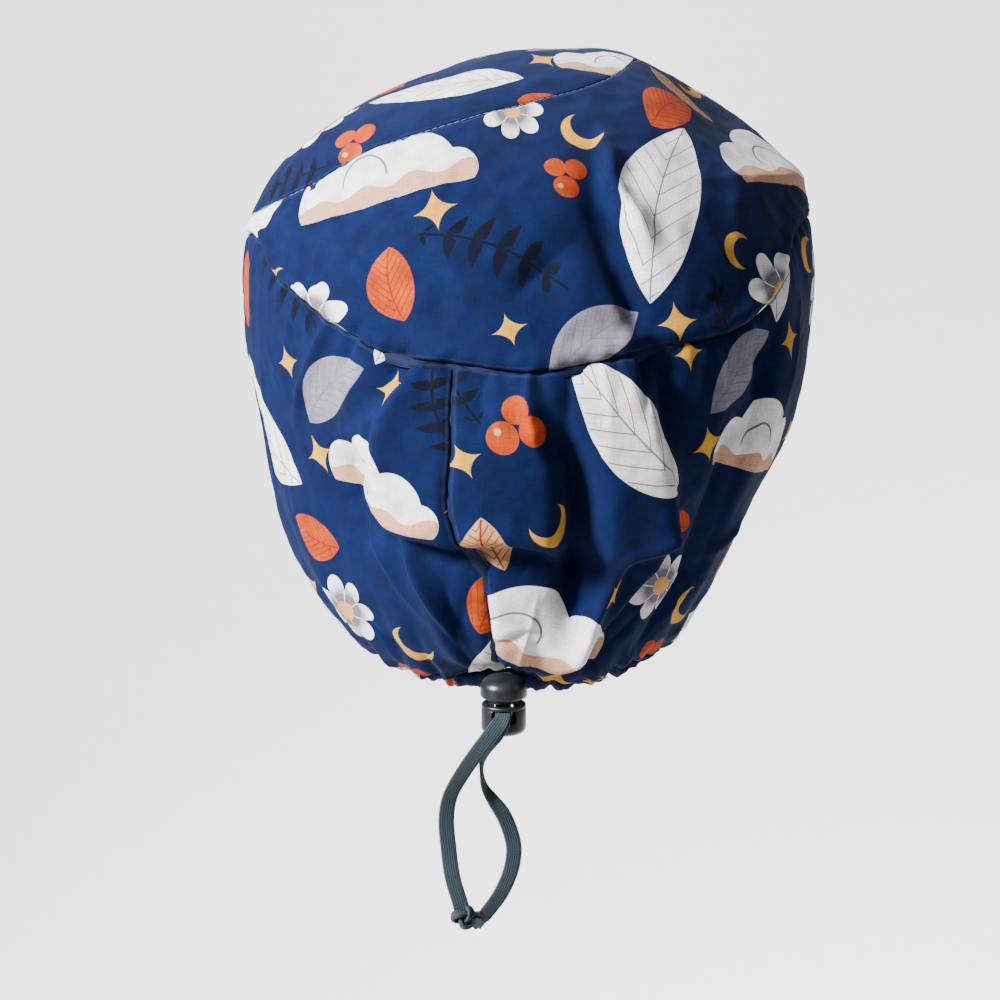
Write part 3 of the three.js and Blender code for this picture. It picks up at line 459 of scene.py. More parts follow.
archLine, archShare = archCurve()
archAt = lambda s: pointsAlong(s, archShare, archLine)

# Places that several pieces share: the casing's top edge, its mouth, and the cord lock in front of it
casingHeight = elasticWidth + 2 * elasticClear + 2 * casingWall
casingThick = elasticThick + 2 * elasticClear + 2 * casingWall


def casingTopRise(angle):
    share = 0.05
    climb = plainPoint(angle, share + 0 * angle) - plainPoint(angle, 0 * angle)
    return (casingHeight + 2 * seamGap) / (np.linalg.norm(climb, axis=-1) / share)


mouthAngle = float(centreSeamAngle(0))
mouth = outerPoint(onChart(np.array([mouthAngle]), casingTopRise(np.array([mouthAngle])) / 2))[0]
lockSize = {"diameter": 16.8, "length": 11.3, "wall": 2.2, "floor": 1.5, "windowWidth": 9.2,
            "windowHeight": 4.9, "windowCorner": 1.2, "roof": 1.5, "standOff": 2.6, "drop": 8.4,
            "edge": 0.8, "footEdge": 2.4, "strandAside": 0.2}
buttonSize = {"diameter": 17.6, "head": 8.2, "travel": 2.2, "clear": 0.3, "windowWidth": 6.9,
              "windowCorner": 0.4, "edge": 0.8, "sideShare": 0.42, "domePower": 0.72, "domeSteps": 18}
lockX, lockY = mouth[0], mouth[1] - lockSize["standOff"] - lockSize["diameter"] / 2
stackHeight = 2 * elasticThick + elasticClear
stackZ = mouth[2] - lockSize["drop"]
windowTop = stackZ + stackHeight / 2 + elasticClear
barrelTop = windowTop + lockSize["roof"]
barrelFoot = barrelTop - lockSize["length"]
strandX = lockX - lockSize["strandAside"]
strandLevel = (elasticThick + elasticClear) / 2


def addMesh(name, points, faces, material=None, faceMaterial=None):
    mesh = bpy.data.meshes.new(name)
    mesh.from_pydata((np.asarray(points) * mm).tolist(), [], faces)
    mesh.polygons.foreach_set("use_smooth", [True] * len(mesh.polygons))
    piece = bpy.data.objects.new(name, mesh)
    scene.collection.objects.link(piece)
    for entry in material if isinstance(material, list) else [material]:
        mesh.materials.append(entry)
    if faceMaterial is not None:
        mesh.polygons.foreach_set("material_index", faceMaterial)
    mesh.update()
    return piece


# Faces between rings of points, whose ends are closed, left open or joined to each other
def loftFaces(count, sides, first=0, ends="closed"):
    faces = []
    for k in range(count if ends == "joined" else count - 1):
        low, high = first + k * sides, first + (k + 1) % count * sides
        for s in range(sides):
            t = (s + 1) % sides
            faces.append((low + s, low + t, high + t, high + s))
    if ends == "closed":
        faces.append(tuple(first + s for s in reversed(range(sides))))
        faces.append(tuple(first + (count - 1) * sides + s for s in range(sides)))
    return faces


# Several lofts as the points and faces of one mesh
def joinLofts(lofts):
    faces, first = [], 0
    for rings, ends in lofts:
        count, sides = rings.shape[:2]
        faces += loftFaces(count, sides, first, ends)
        first += count * sides
    return np.vstack([rings.reshape(-1, 3) for rings, ends in lofts]), faces


def ringsOf(middle, across, out, shape):
    shape = np.asarray(shape)
    return (middle[:, None] + across[:, None] * shape[None, :, 0:1] + out[:, None] * shape[None, :, 1:2])


def loft(name, rings, material):
    count, sides = rings.shape[:2]
    faces = loftFaces(count, sides)
    points = rings.reshape(-1, 3)
    piece = addMesh(name, points, faces, material)
    # The faces look outwards
    a, b, c = (points[[f[k] for f in faces[:-2]]] for k in range(3))
    away = (a + b + c) / 3 - np.repeat(rings.mean(1)[:-1], sides, 0)
    if np.sum(np.cross(b - a, c - a) * away) < 0:
        piece.data.flip_normals()
    return piece


def withBmesh(piece, change):
    work = bmesh.new()
    work.from_mesh(piece.data)
    change(work)
    work.to_mesh(piece.data)
    work.free()


def recalcOutside(piece):
    withBmesh(piece, lambda work: bmesh.ops.recalc_face_normals(work, faces=work.faces))


def weld(piece):
    withBmesh(piece, lambda work: (
        bmesh.ops.remove_doubles(work, verts=work.verts, dist=0.004 * mm),
        bmesh.ops.dissolve_degenerate(work, edges=work.edges, dist=0.002 * mm)))


# Where each point of a piece lies on the flat cloth or band, in mm
def writeUv(piece, flat):
    mesh = piece.data
    layer = mesh.uv_layers.new(name="print")
    index = np.empty(len(mesh.loops), dtype=np.int32)
    mesh.loops.foreach_get("vertex_index", index)
    layer.uv.foreach_set("vector", flat[index].astype(np.float32).ravel())


# How far each point lies from a sewn edge, in mm: the material paints shade into the seam there, and a pale
# line beside it that is partly wear and partly painted highlight
farFromSeams = 9.0


def writeSeamAway(piece, distances=None):
    if distances is None:
        distances = np.full(len(piece.data.vertices), farFromSeams)
    away = piece.data.attributes.new("seamAway", "FLOAT", "POINT")
    away.data.foreach_set("value", distances.astype(np.float32))


# The body that a piece rides on, and the solid that it stands for, which is hidden
def settle(piece, node=None, body="cap"):
    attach(piece, body)
    if node:
        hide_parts(node)
    return piece


# One socket of a node tree, so that shader maths reads as plain Python
class Wire:
    def __init__(self, tree, socket=None):
        self.tree = tree
        self.socket = socket

    def node(self, kind, settings=None, inputs=None, out=0):
        made = self.tree.nodes.new(kind)
        for key, value in (settings or {}).items():
            if key == "stops":
                ramp = made.color_ramp.elements
                while len(ramp) < len(value):
                    ramp.new(0.5)
                for element, (position, colour) in zip(ramp, value):
                    element.position, element.color = position, colour
            else:
                setattr(made, key, value)
        for key, value in (inputs or {}).items():
            if isinstance(value, Wire):
                self.tree.links.new(value.socket, made.inputs[key])
            else:
                made.inputs[key].default_value = value
        return Wire(self.tree, made.outputs[out] if made.outputs else None)

    def also(self, out):
        return Wire(self.tree, self.socket.node.outputs[out])

    def sum(self, operation, *values, clamp=False):
        settings = {"operation": operation, "use_clamp": clamp}
        return self.node("ShaderNodeMath", settings, dict(enumerate(values)))

    __add__ = lambda self, other: self.sum("ADD", self, other)
    __radd__ = lambda self, other: self.sum("ADD", other, self)
    __sub__ = lambda self, other: self.sum("SUBTRACT", self, other)
    __rsub__ = lambda self, other: self.sum("SUBTRACT", other, self)
    __mul__ = lambda self, other: self.sum("MULTIPLY", self, other)
    __rmul__ = lambda self, other: self.sum("MULTIPLY", other, self)
    __truediv__ = lambda self, other: self.sum("DIVIDE", self, other)
    __pow__ = lambda self, other: self.sum("POWER", self, other)
    __abs__ = lambda self: self.sum("ABSOLUTE", self)
    least = lambda self, other: self.sum("MINIMUM", self, other)
    most = lambda self, other: self.sum("MAXIMUM", self, other)

    # 1 where a distance is below nought, 0 where it is above, over an edge this wide
    def inside(self, edge=0.25):
        return self.sum("MULTIPLY_ADD", self, -1 / edge, 0.5, clamp=True)


def startMaterial(name):
    material = bpy.data.materials.new(name)
    material.use_nodes = True
    material.node_tree.nodes.clear()
    return material, Wire(material.node_tree)


def finishMaterial(w, inputs):
    made = w.node("ShaderNodeBsdfPrincipled", None, inputs)
    w.node("ShaderNodeOutputMaterial", None, {"Surface": made})


def mixColours(w, factor, low, high):
    made = w.node("ShaderNodeMix", {"data_type": "RGBA"}, None)
    node = made.socket.node
    for index, value in ((0, factor), (6, low), (7, high)):
        if isinstance(value, Wire):
            w.tree.links.new(value.socket, node.inputs[index])
        else:
            node.inputs[index].default_value = value
    return Wire(w.tree, node.outputs[2])


def colour(hexText, light=1.0):
    parts = [int(hexText[k:k + 2], 16) / 255 for k in (0, 2, 4)]
    linear = [c / 12.92 if c <= 0.04045 else ((c + 0.055) / 1.055) ** 2.4 for c in parts]
    return tuple(light * c for c in linear) + (1.0,)


# The print: night garden motifs on navy, in a square repeat. Sizes in millimetres on the flat cloth.
inkLight = 0.62
inks = {name: colour(hexText, inkLight) for name, hexText in {
    "ground": "0b1841", "groundDeep": "08112b", "white": "efedec", "shade": "c2bfc4", "tan": "b98e74",
    "gold": "cf9a34", "goldDeep": "9c6f28", "orange": "b4430f", "rust": "7a2c12", "black": "0c0a12",
    "grey": "7d7a88", "line": "696670"}.items()}
printRepeat = 190
motifs = [
    # kind, x, y, turn in degrees, size
    ("cloud", -54, 52, 8, 1.5), ("cloud", 46, -58, -14, 1.2),
    ("whiteLeaf", 60, 30, 64, 41), ("whiteLeaf", -36, -46, 142, 36),
    ("daisy", -80, -8, 20, 18), ("daisy", 8, 78, 50, 14.5),
    ("sprig", -6, 16, -28, 30), ("sprig", 80, -26, 112, 25),
    ("greyLeaf", 24, -22, 35, 22), ("tanLeaf", -88, 90, 120, 17),
    ("orangeLeaf", -46, 6, 100, 15), ("orangeLeaf", 82, 76, 30, 17), ("orangeLeaf", 0, -84, 160, 13.5),
    ("berries", -88, -52, 0, 6.0), ("berries", 22, 38, 40, 5.0),
    ("moon", 36, 64, 24, 9.0), ("moon", -70, -84, 120, 8.2), ("moon", 90, 8, -30, 7.0),
    ("sparkle", -28, 34, 8, 9.0), ("sparkle", 10, -50, 20, 8.0), ("sparkle", -4, -16, 12, 6.5),
    ("sparkle", 58, -18, 5, 8.0), ("sparkle", -24, 80, 40, 7.0), ("sparkle", 88, -62, 30, 7.5),
]


leaves = {
    # width as a share of the length, the two inks of the blade, ink of the veins
    "whiteLeaf": (0.40, "white", "shade", "line"), "greyLeaf": (0.46, "grey", "line", "line"),
    "tanLeaf": (0.44, "tan", "goldDeep", "rust"), "orangeLeaf": (0.62, "orange", "rust", "rust"),
}


def leafShape(w, x, y, length, width):
    radius = (length ** 2 + width ** 2) / (2 * width)
    return w.sum("SQRT", x ** 2 + (abs(y) + (radius - width)) ** 2) - radius


def roundShape(w, x, y, radius, aside=0.0, up=0.0):
    return w.sum("SQRT", (x - aside) ** 2 + (y - up) ** 2) - radius


# Several discs as one shape: radius, aside and up of each, as shares of size
def roundShapes(w, x, y, size, discs):
    first, *others = [roundShape(w, x, y, *(share * size for share in disc)) for disc in discs]
    for other in others:
        first = first.least(other)
    return first


def paintMotif(w, base, kind, x, y, size, wash):
    lay = lambda under, mask, ink: mixColours(w, mask, under, ink if isinstance(ink, Wire) else inks[ink])
    shaded = lambda light, dark: mixColours(w, wash, inks[light], inks[dark])
    if kind == "sparkle":
        star = (abs(x) ** 0.6 + abs(y) ** 0.6 - size ** 0.6) * 2.2
        return lay(base, star.inside(0.35), shaded("gold", "goldDeep"))
    if kind == "moon":
        disc = roundShape(w, x, y, size)
        bite = roundShape(w, x, y, size * 0.84, size * 0.44, size * 0.1)
        return lay(base, disc.most(0 - bite).inside(), shaded("gold", "goldDeep"))
    if kind == "daisy":
        around = w.sum("ARCTAN2", y, x)
        petals = abs(w.sum("COSINE", around * 3.5)) ** 0.55
        away = w.sum("SQRT", x ** 2 + y ** 2)
        flower = away - (petals * (0.52 * size) + 0.48 * size)
        painted = lay(base, flower.inside(), shaded("white", "shade"))
        between = (0.3 - petals).inside(0.12) * flower.inside() * (away - 0.6 * size).inside(4)
        painted = lay(painted, between, "line")
        return lay(painted, (away - 0.27 * size).inside(), shaded("gold", "tan"))
    if kind == "cloud":
        puffs = roundShapes(w, x, y, size, [(9.5, -17, -1), (13, -3, 3), (10.5, 13, 0), (6, 23, -3)])
        body = puffs.most((0 - y) - 7.5 * size)
        painted = lay(base, body.inside(), shaded("white", "shade"))
        curl = abs(roundShape(w, x, y, 7 * size, -4 * size, 1 * size)) - 0.45
        low = (y + 2.4 * size + w.sum("SINE", x * (0.42 / size)) * (1.2 * size)).inside(0.4)
        painted = lay(painted, body.inside() * low, "tan")
        return lay(painted, curl.inside() * (0 - y).inside(2) * body.inside(), "line")
    if kind in leaves:
        plump, light, dark, veinInk = leaves[kind]
        bent = y + x ** 2 * (0.18 / size)
        blade = leafShape(w, x, bent, size, size * plump)
        painted = lay(base, blade.inside(), shaded(light, dark))
        rib = abs(bent) - 0.3
        veins = w.sum("PINGPONG", x - abs(y) * 1.25, size * 0.115) - 0.32
        return lay(painted, rib.least(veins).inside() * (blade + 0.5).inside(), veinInk)
    if kind == "sprig":
        bend = y + x ** 2 * (0.2 / size)
        stem = (abs(bend) - 0.55).most(abs(x) - size)
        step = size / 3.1
        along = w.sum("WRAP", x, step / 2, -step / 2)
        taper = 1.08 - (x / size) ** 2
        reach = size * 0.27
        u = along * 0.64 + abs(bend) * 0.77 - taper * reach
        v = along * 0.77 - abs(bend) * 0.64
        blades = leafShape(w, u / taper, v / taper, reach, reach * 0.42) * 0.8
        whole = stem.least(blades.most(abs(x) - size * 0.93))
        return lay(base, whole.inside(), shaded("black", "groundDeep"))
    fruit = roundShapes(w, x, y, size, [(1, 0, 0), (0.9, 1.9, 0.5), (0.85, 0.8, 1.7)])
    painted = lay(base, fruit.inside(), shaded("orange", "rust"))
    shine = roundShape(w, x, y, size * 0.22, -size * 0.3, size * 0.35)
    return lay(painted, shine.inside(0.6), "tan")


def printColour(w, flat, wash):
    half = printRepeat / 2
    painted = mixColours(w, wash, inks["ground"], inks["groundDeep"])
    for kind, x, y, turn, size in motifs:
        moved = w.node("ShaderNodeVectorMath", {"operation": "SUBTRACT"}, {0: flat, 1: (x, y, 0)})
        wrapped = w.node("ShaderNodeVectorMath", {"operation": "WRAP"},
                         {0: moved, 1: (half, half, half), 2: (-half, -half, -half)})
        turned = w.node("ShaderNodeVectorRotate", {"rotation_type": "Z_AXIS"},
                        {"Vector": wrapped, "Angle": -turn * degree})
        across = w.node("ShaderNodeSeparateXYZ", None, {0: turned})
        painted = paintMotif(w, painted, kind, across, across.also("Y"), size, wash)
    return painted


# Places on the flat cloth, noise over them, and a bump of so many millimetres
def flatPlace(w):
    flat = w.node("ShaderNodeUVMap", {"uv_map": "print"})
    axes = w.node("ShaderNodeSeparateXYZ", None, {0: flat})
    return flat, axes, axes.also("Y")


def flatNoise(w, flat, scale, detail):
    inputs = {"Vector": flat, "Scale": scale, "Detail": detail}
    return w.node("ShaderNodeTexNoise", {"noise_dimensions": "2D"}, inputs)


def bumpOf(w, height, strength, depth):
    return w.node("ShaderNodeBump", None, {"Height": height, "Strength": strength, "Distance": depth * mm})


# The seam dark colour is painted shade in the seams; the worn colour is a pale line, partly wear and partly
# painted highlight
clothLook = {"roughness": 0.9, "sheen": 0.03, "sheenRoughness": 0.4, "sheenTint": (0.2, 0.32, 0.7, 1),
             "specular": 0.05, "yarn": 0.42, "bump": 0.5, "bumpDepth": 0.12, "reverse": "263f78",
             "reverseMix": 0.66, "wearAndFoldHighlight": "5a6a90", "wearAndFoldHighlightMix": 0.07, "seamShadow": "0a1430",
             "seamShadowMix": 0.75}


def clothMaterial(name, reverse):
    look = clothLook
    material, w = startMaterial(name)
    flat, u, v = flatPlace(w)
    noise = lambda scale, detail: flatNoise(w, flat, scale, detail)
    wash = w.sum("MULTIPLY_ADD", noise(0.09, 3.0), 1.6, -0.45, clamp=True)
    painted = printColour(w, flat, wash)
    if reverse:
        painted = mixColours(w, look["reverseMix"], painted, colour(look["reverse"]))
    # Yarns: slubs along the warp and the weft make the colour a little uneven
    stretched = lambda by: w.node("ShaderNodeVectorMath", {"operation": "MULTIPLY"}, {0: flat, 1: by})
    warp, weft = (flatNoise(w, stretched(by), 1.0, 2.0) for by in ((2.6, 0.16, 1), (0.16, 2.6, 1)))
    uneven = (warp + weft - 1) * 0.55 + (noise(1.5, 2.0) - 0.5) * 0.35
    light = w.node("ShaderNodeHueSaturation", None, {"Color": painted, "Value": uneven + 1.0})
    # Beside the seams the cotton is pale along the fold, partly wear and partly a painted highlight where
    # the folded edge catches light, and darker where it turns in: painted shade in the seam
    edge = w.node("ShaderNodeAttribute", {"attribute_name": "seamAway"}, None, "Fac")
    # Painted highlight, partly wear: a pale line about a millimetre from each seam, along the folded edge
    # that catches light
    wearAndFoldHighlight = (abs(edge - 1.25) - 0.35).inside(0.7) * (noise(0.35, 2.0) * 1.2)
    withFoldHighlight = mixColours(w, wearAndFoldHighlight * look["wearAndFoldHighlightMix"], light, colour(look["wearAndFoldHighlight"]))
    # Painted shade: within half a millimetre or so of each seam the colour is darkened, where shade falls
    # into the seam
    dark = mixColours(w, (edge - 0.2).inside(0.7) * look["seamShadowMix"], withFoldHighlight, colour(look["seamShadow"]))
    turn = 2 * math.pi / look["yarn"]
    height = w.sum("SINE", u * turn) * w.sum("SINE", v * turn) * 0.5 + (warp + weft) * 0.6
    finishMaterial(w, {"Base Color": dark, "Roughness": look["roughness"],
                       "Normal": bumpOf(w, height, look["bump"], look["bumpDepth"]),
                       "Sheen Weight": look["sheen"], "Sheen Roughness": look["sheenRoughness"],
                       "Sheen Tint": look["sheenTint"], "Specular IOR Level": look["specular"]})
    return material


elasticLook = {"base": "11191f", "rib": "27353b", "roughness": 0.75, "sheen": 0.04, "specular": 0.15,
               "ribs": 7, "pick": 1.1, "bump": 0.8, "bumpDepth": 0.25}


def elasticMaterial():
    look = elasticLook
    material, w = startMaterial("braidedElastic")
    flat, u, v = flatPlace(w)
    ribs = w.sum("COSINE", u * (2 * math.pi * look["ribs"] / elasticWidth))
    picks = w.sum("SINE", v * (2 * math.pi / look["pick"]) + ribs * 1.3)
    fuzz = flatNoise(w, flat, 1.4, 3.0)
    crest = w.sum("MULTIPLY_ADD", ribs, 0.30, 0.42) + picks * 0.18 + (fuzz - 0.5) * 0.7
    shown = w.sum("MULTIPLY_ADD", crest, 1.0, 0.0, clamp=True)
    tint = mixColours(w, shown, colour(look["base"]), colour(look["rib"]))
    finishMaterial(w, {"Base Color": tint, "Roughness": look["roughness"],
                       "Normal": bumpOf(w, crest, look["bump"], look["bumpDepth"]),
                       "Sheen Weight": look["sheen"], "Specular IOR Level": look["specular"]})
    return material


plasticLook = {"base": "0d1114", "scuff": "20292e", "scuffMix": 0.35, "roughness": 0.34,
               "scuffRoughness": 0.22, "specular": 0.3, "grain": 2600.0, "smears": 210.0, "bump": 0.25,
               "bumpDepth": 0.05}


def plasticMaterial():
    look = plasticLook
    material, w = startMaterial("mouldedLockPlastic")
    place = w.node("ShaderNodeTexCoord", None, None, "Object")
    grain = w.node("ShaderNodeTexNoise", None, {"Vector": place, "Scale": look["grain"], "Detail": 2.0})
    smears = w.node("ShaderNodeTexNoise", None, {"Vector": place, "Scale": look["smears"], "Detail": 4.0})
    wear = w.sum("MULTIPLY_ADD", smears, 2.4, -1.05, clamp=True)
    tint = mixColours(w, wear * look["scuffMix"], colour(look["base"]), colour(look["scuff"]))
    finishMaterial(w, {"Base Color": tint, "Roughness": wear * look["scuffRoughness"] + look["roughness"],
                       "Normal": bumpOf(w, grain, look["bump"], look["bumpDepth"]),
                       "Specular IOR Level": look["specular"]})
    return material


threadLook = {"twist": 900.0, "roughness": 0.8, "specular": 0.1, "bump": 0.6, "bumpDepth": 0.06,
              "navy": ("070d20", "0f1b38"), "pale": ("2c3d66", "8491b0")}


def threadMaterial(name, shade):
    look = threadLook
    base, tip = look[shade]
    material, w = startMaterial(name)
    place = w.node("ShaderNodeTexCoord", None, None, "Object")
    twist = w.node("ShaderNodeTexWave", {"bands_direction": "DIAGONAL"},
                   {"Vector": place, "Scale": look["twist"], "Distortion": 1.0}, "Fac")
    tint = mixColours(w, twist * 0.6, colour(base), colour(tip))
    finishMaterial(w, {"Base Color": tint, "Roughness": look["roughness"],
                       "Normal": bumpOf(w, twist, look["bump"], look["bumpDepth"]),
                       "Specular IOR Level": look["specular"]})
    return material


def plainMaterial(name, base, roughness):
    material, w = startMaterial(name)
    finishMaterial(w, {"Base Color": base, "Roughness": roughness})
    return material


clothFace = clothMaterial("printedCotton", False)
clothBack = clothMaterial("printedCottonReverse", True)
elastic = elasticMaterial()
plastic = plasticMaterial()
# The navy thread is also laid on the seam allowances as painted shade in the seams
navyThreadAndSeamShade = threadMaterial("navyThreadAndSeamShade", "navy")
paleThread = threadMaterial("paleThread", "pale")
print("materials made")


# Elastic: a flat ribbed braid with rounded edges
def elasticSection(width, thick, points=15):
    upper = [(w, 0.5 * thick * math.sqrt(max(0, 1 - abs(2 * w / width) ** 6))
              * (1 + 0.10 * math.cos(2 * math.pi * elasticLook["ribs"] * w / width)))
             for w in np.linspace(-width / 2, width / 2, points)]
    return upper + [(w, -t) for w, t in reversed(upper[1:-1])]


def printOnRibbon(piece, rings, shape):
    flat = np.empty(rings.shape[:2] + (2,))
    flat[..., 0] = np.asarray(shape)[None, :, 0]
    flat[..., 1] = lengthsFrom(rings.mean(1))[:, None]
    writeUv(piece, flat.reshape(-1, 2))


strands = {
    "left": {
        "side": -1, "node": "elastic_strand_left", "steps": 190,
        "path": [(0, 0, 0), (0, -7, 0), (-0.6, -10.6, -1.4), (-3.1, -12, -4.6),
                 (-8.4, -12.4, -11.6), (-14.8, -12.2, -21), (-19.6, -11.6, -30.2),
                 (-21.1, -10.8, -39), (-20.4, -10.3, -50.5), (-18.9, -9.9, -62.5),
                 (-16, -9.7, -73.1)],
        "across": [(1, 0, 0), (1, 0, 0), (1, 0, 0), (0.9, 0, -0.3), (0.82, 0.1, -0.55),
                 (0.86, 0.2, -0.4), (0.95, 0.25, -0.15), (1, 0.2, 0), (1, 0.1, 0.1), (0.96, 0, 0.2),
                 (0.9, 0, 0.3)],
    },
    "right": {
        "side": 1, "node": "elastic_strand_right", "steps": 190,
        "path": [(0, 0, 0), (0, -7, 0), (-0.3, -9.2, -1.6), (-2.7, -9.8, -6.2), (-6.9, -8.2, -14.4),
                 (-8, -6.9, -21), (-6.9, -6.9, -27), (-3.9, -7.6, -31.7), (-0.1, -8.5, -37),
                 (2.9, -9, -44.4), (4, -9.2, -50.5), (2.9, -9.2, -58.6), (-0.9, -9.3, -67.8),
                 (-7.3, -9.5, -77)],
        "across": [(1, 0, 0), (1, 0, 0), (1, 0, 0), (0.9, 0.2, -0.3), (0.5, 0.8, -0.1), (0.1, 1, 0),
                 (0.3, 0.95, 0.1), (0.6, 0.75, 0.3), (0.85, 0.45, 0.4), (0.95, 0.25, 0.2),
                 (1, 0.15, 0), (0.95, 0.15, -0.25), (0.85, 0.2, -0.5), (0.65, 0.3, -0.7)],
    },
}


def ribbon(name, middle, across, material):
    ahead = unit(np.gradient(middle, axis=0))
    across = unit(across - ahead * np.sum(across * ahead, axis=1, keepdims=True))
    out = np.cross(ahead, across)
    shape = elasticSection(elasticWidth, elasticThick)
    rings = ringsOf(middle, across, out, shape)
    piece = loft(name, rings, material)
    printOnRibbon(piece, rings, shape)
    return piece


def strandRoute(strand):
    start = np.array([strandX, lockY - elasticClear / 2, stackZ - strand["side"] * strandLevel])
    t = np.linspace(0, 1, strand["steps"] + 1)
    return throughPoints(np.array(strand["path"]) + start, t), throughPoints(strand["across"], t)


def makeStrands():
    made = {}
    knotMiddle = np.array(knotShape["place"]) + [strandX, lockY, stackZ]
    for name, strand in strands.items():
        middle, across = strandRoute(strand)
        inKnot = mix(middle[-1], knotMiddle, np.linspace(0.2, 0.7, 5)[:, None])
        middle, across = np.vstack([middle, inKnot]), np.vstack([across, np.repeat(across[-1:], 5, 0)])
        piece = ribbon(f"elastic_end_{name}", middle, across, elastic)
        made[name] = (settle(piece, strand["node"]), middle)
    return made


knotShape = {
    "place": (-14.8, -9.7, -77.7), "loop": 1.75, "tight": 0.78, "depth": 2.2, "tilt": 0.5, "width": 3.3,
    "thick": 1.5, "steps": 150, "tailWidth": 0.72, "tailThick": 1.1,
    "tails": [[(1.0, 0.0, -1.0), (3.2, -0.8, -1.4), (5.6, -1.2, -1.9), (7.2, -1.2, -2.9)],
              [(0.5, 0.6, -1.4), (2.6, 1.3, -2.2), (4.6, 1.6, -3.3), (5.8, 1.5, -4.4)]],
}


# A band laid flat, with so many millimetres from each ring of its points to the next
def flatBand(shape, count, apart):
    return np.stack([np.tile(np.asarray(shape)[:, 0], count),
                     np.repeat(np.arange(count) * apart, len(shape))], 1)


def makeKnot():
    centre = np.array(knotShape["place"]) + [strandX, lockY, stackZ]
    t = np.linspace(0, 2 * math.pi, knotShape["steps"], endpoint=False)
    loop = np.stack([np.sin(t) + 2 * np.sin(2 * t), -np.sin(3 * t) * knotShape["depth"] / knotShape["loop"],
                     np.cos(t) - 2 * np.cos(2 * t)], axis=1)
    c, s = math.cos(knotShape["tilt"]), math.sin(knotShape["tilt"])
    spun = np.stack([loop[:, 0] * c - loop[:, 2] * s, loop[:, 1], loop[:, 0] * s + loop[:, 2] * c], axis=1)
    middle = spun * knotShape["loop"] * knotShape["tight"]
    ahead = unit(np.roll(middle, -1, 0) - np.roll(middle, 1, 0))
    across = unit(np.cross(ahead, unit(middle + 1e-6)))
    out = np.cross(ahead, across)
    shape = elasticSection(knotShape["width"], knotShape["thick"])
    lofts = [(ringsOf(middle + centre, across, out, shape), "joined")]
    flats = [flatBand(shape, len(middle), 0.35)]
    for tail in knotShape["tails"]:
        line = throughPoints(np.array(tail), np.linspace(0, 1, 18)) + centre
        heading = unit(np.gradient(line, axis=0))
        wide = unit(np.cross(heading, [0.2, 1.0, 0.3]))
        thin = np.cross(heading, wide)
        tailShape = elasticSection(elasticWidth * knotShape["tailWidth"],
                                   elasticThick * knotShape["tailThick"])
        lofts.append((ringsOf(line, wide, thin, tailShape), "closed"))
        flats.append(flatBand(tailShape, len(line), 0.4))
    piece = addMesh("elastic_end_knot", *joinLofts(lofts), elastic)
    writeUv(piece, np.vstack(flats))
    recalcOutside(piece)
    return settle(piece, "elastic_knot")


knotPiece = makeKnot()
makeStrands()
print("cords made")


# Cloth panels: a fine grid outside, the same grid a wall further in, and a rim that joins them
riseGap = seamGap / 2 / meridian
angleGap = lambda rise: seamGap / 2 / degreeLength(rise)
sideGap = lambda rise: sideSeamGap / 2 / degreeLength(rise)


# The back panels' top at the centre, in rise; how far they reach into the casing, and more above the lock,
# in mm; and how far one laps over the other at the foot of the centre seam, in seam gaps
backShape = {"top": 0.502, "tuck": 1.0, "lockTuck": 2.2, "lockWidth": 6, "lap": 9, "lapRise": 0.07}


def backPlace(side):
    def place(s, t):
        top = np.full(np.shape(s), backShape["top"])
        lap = lambda rise: 1 - backShape["lap"] * bell(rise / backShape["lapRise"])
        outerEdge = lambda rise: side * (sideAngle - sideGap(rise))
        seamEdge = lambda rise: centreSeamAngle(rise) + side * angleGap(rise) * lap(rise)
        angleAt = lambda rise: mix(outerEdge(rise), seamEdge(rise), s) if side < 0 \
            else mix(seamEdge(rise), outerEdge(rise), s)
        low = angleAt(0 * s)
        atLock = bell((low - mouthAngle) / backShape["lockWidth"])
        tucked = (backShape["tuck"] + backShape["lockTuck"] * atLock) / meridian
        rise = mix(casingTopRise(low) - tucked, crownSeamRise(angleAt(top)) - riseGap, t)
        return onChart(angleAt(rise), rise)
    return place


def crownPlace(s, t):
    angle = mix(-sideAngle, sideAngle, s)
    trimmed = np.clip(angle, -sideAngle + 0.3, sideAngle - 0.3)
    low = onChart(trimmed, crownSeamRise(angle) + riseGap)
    high = archAt(np.clip(s, 0.002, 0.998))
    high = high + unit(low - high) * riseGap
    return mix(low, high, t[..., None])


shoulderShare = 0.5


def frontPlace(s, t):
    s = 1 - s
    tipRise = archSeam[0][1]
    around = lambda end: -end - s * (360 - 2 * end)
    shoulder = onChart(around(sideAngle + sideGap(tipRise)), tipRise + 0 * s)
    foot = onChart(around(sideAngle + sideGap(0)), 0 * s)
    along = archAt(np.clip(s + 0.004, 0, 1)) - archAt(np.clip(s - 0.004, 0, 1))
    high = archAt(s) + unit(np.stack([-along[..., 1], along[..., 0]], -1)) * riseGap
    high = np.where((s < 1e-6)[..., None] | (s > 1 - 1e-6)[..., None], shoulder, high)
    lower = mix(foot, shoulder, np.clip(t / shoulderShare, 0, 1)[..., None])
    upper = mix(shoulder, high, np.clip((t - shoulderShare) / (1 - shoulderShare), 0, 1)[..., None])
    return np.where((t <= shoulderShare)[..., None], lower, upper)


def panelEdges(plain, seams):
    up, along = lengthsFrom(plain, 0), lengthsFrom(plain, 1)
    away = {"low": up, "high": up[-1:] - up, "start": along, "end": along[:, -1:] - along}
    run = {"low": along, "high": along, "start": up, "end": up}
    return [{"away": away[name], "along": run[name], "seed": k, "pull": pull, "roll": roll}
            for k, (name, (pull, roll)) in enumerate(seams.items())]


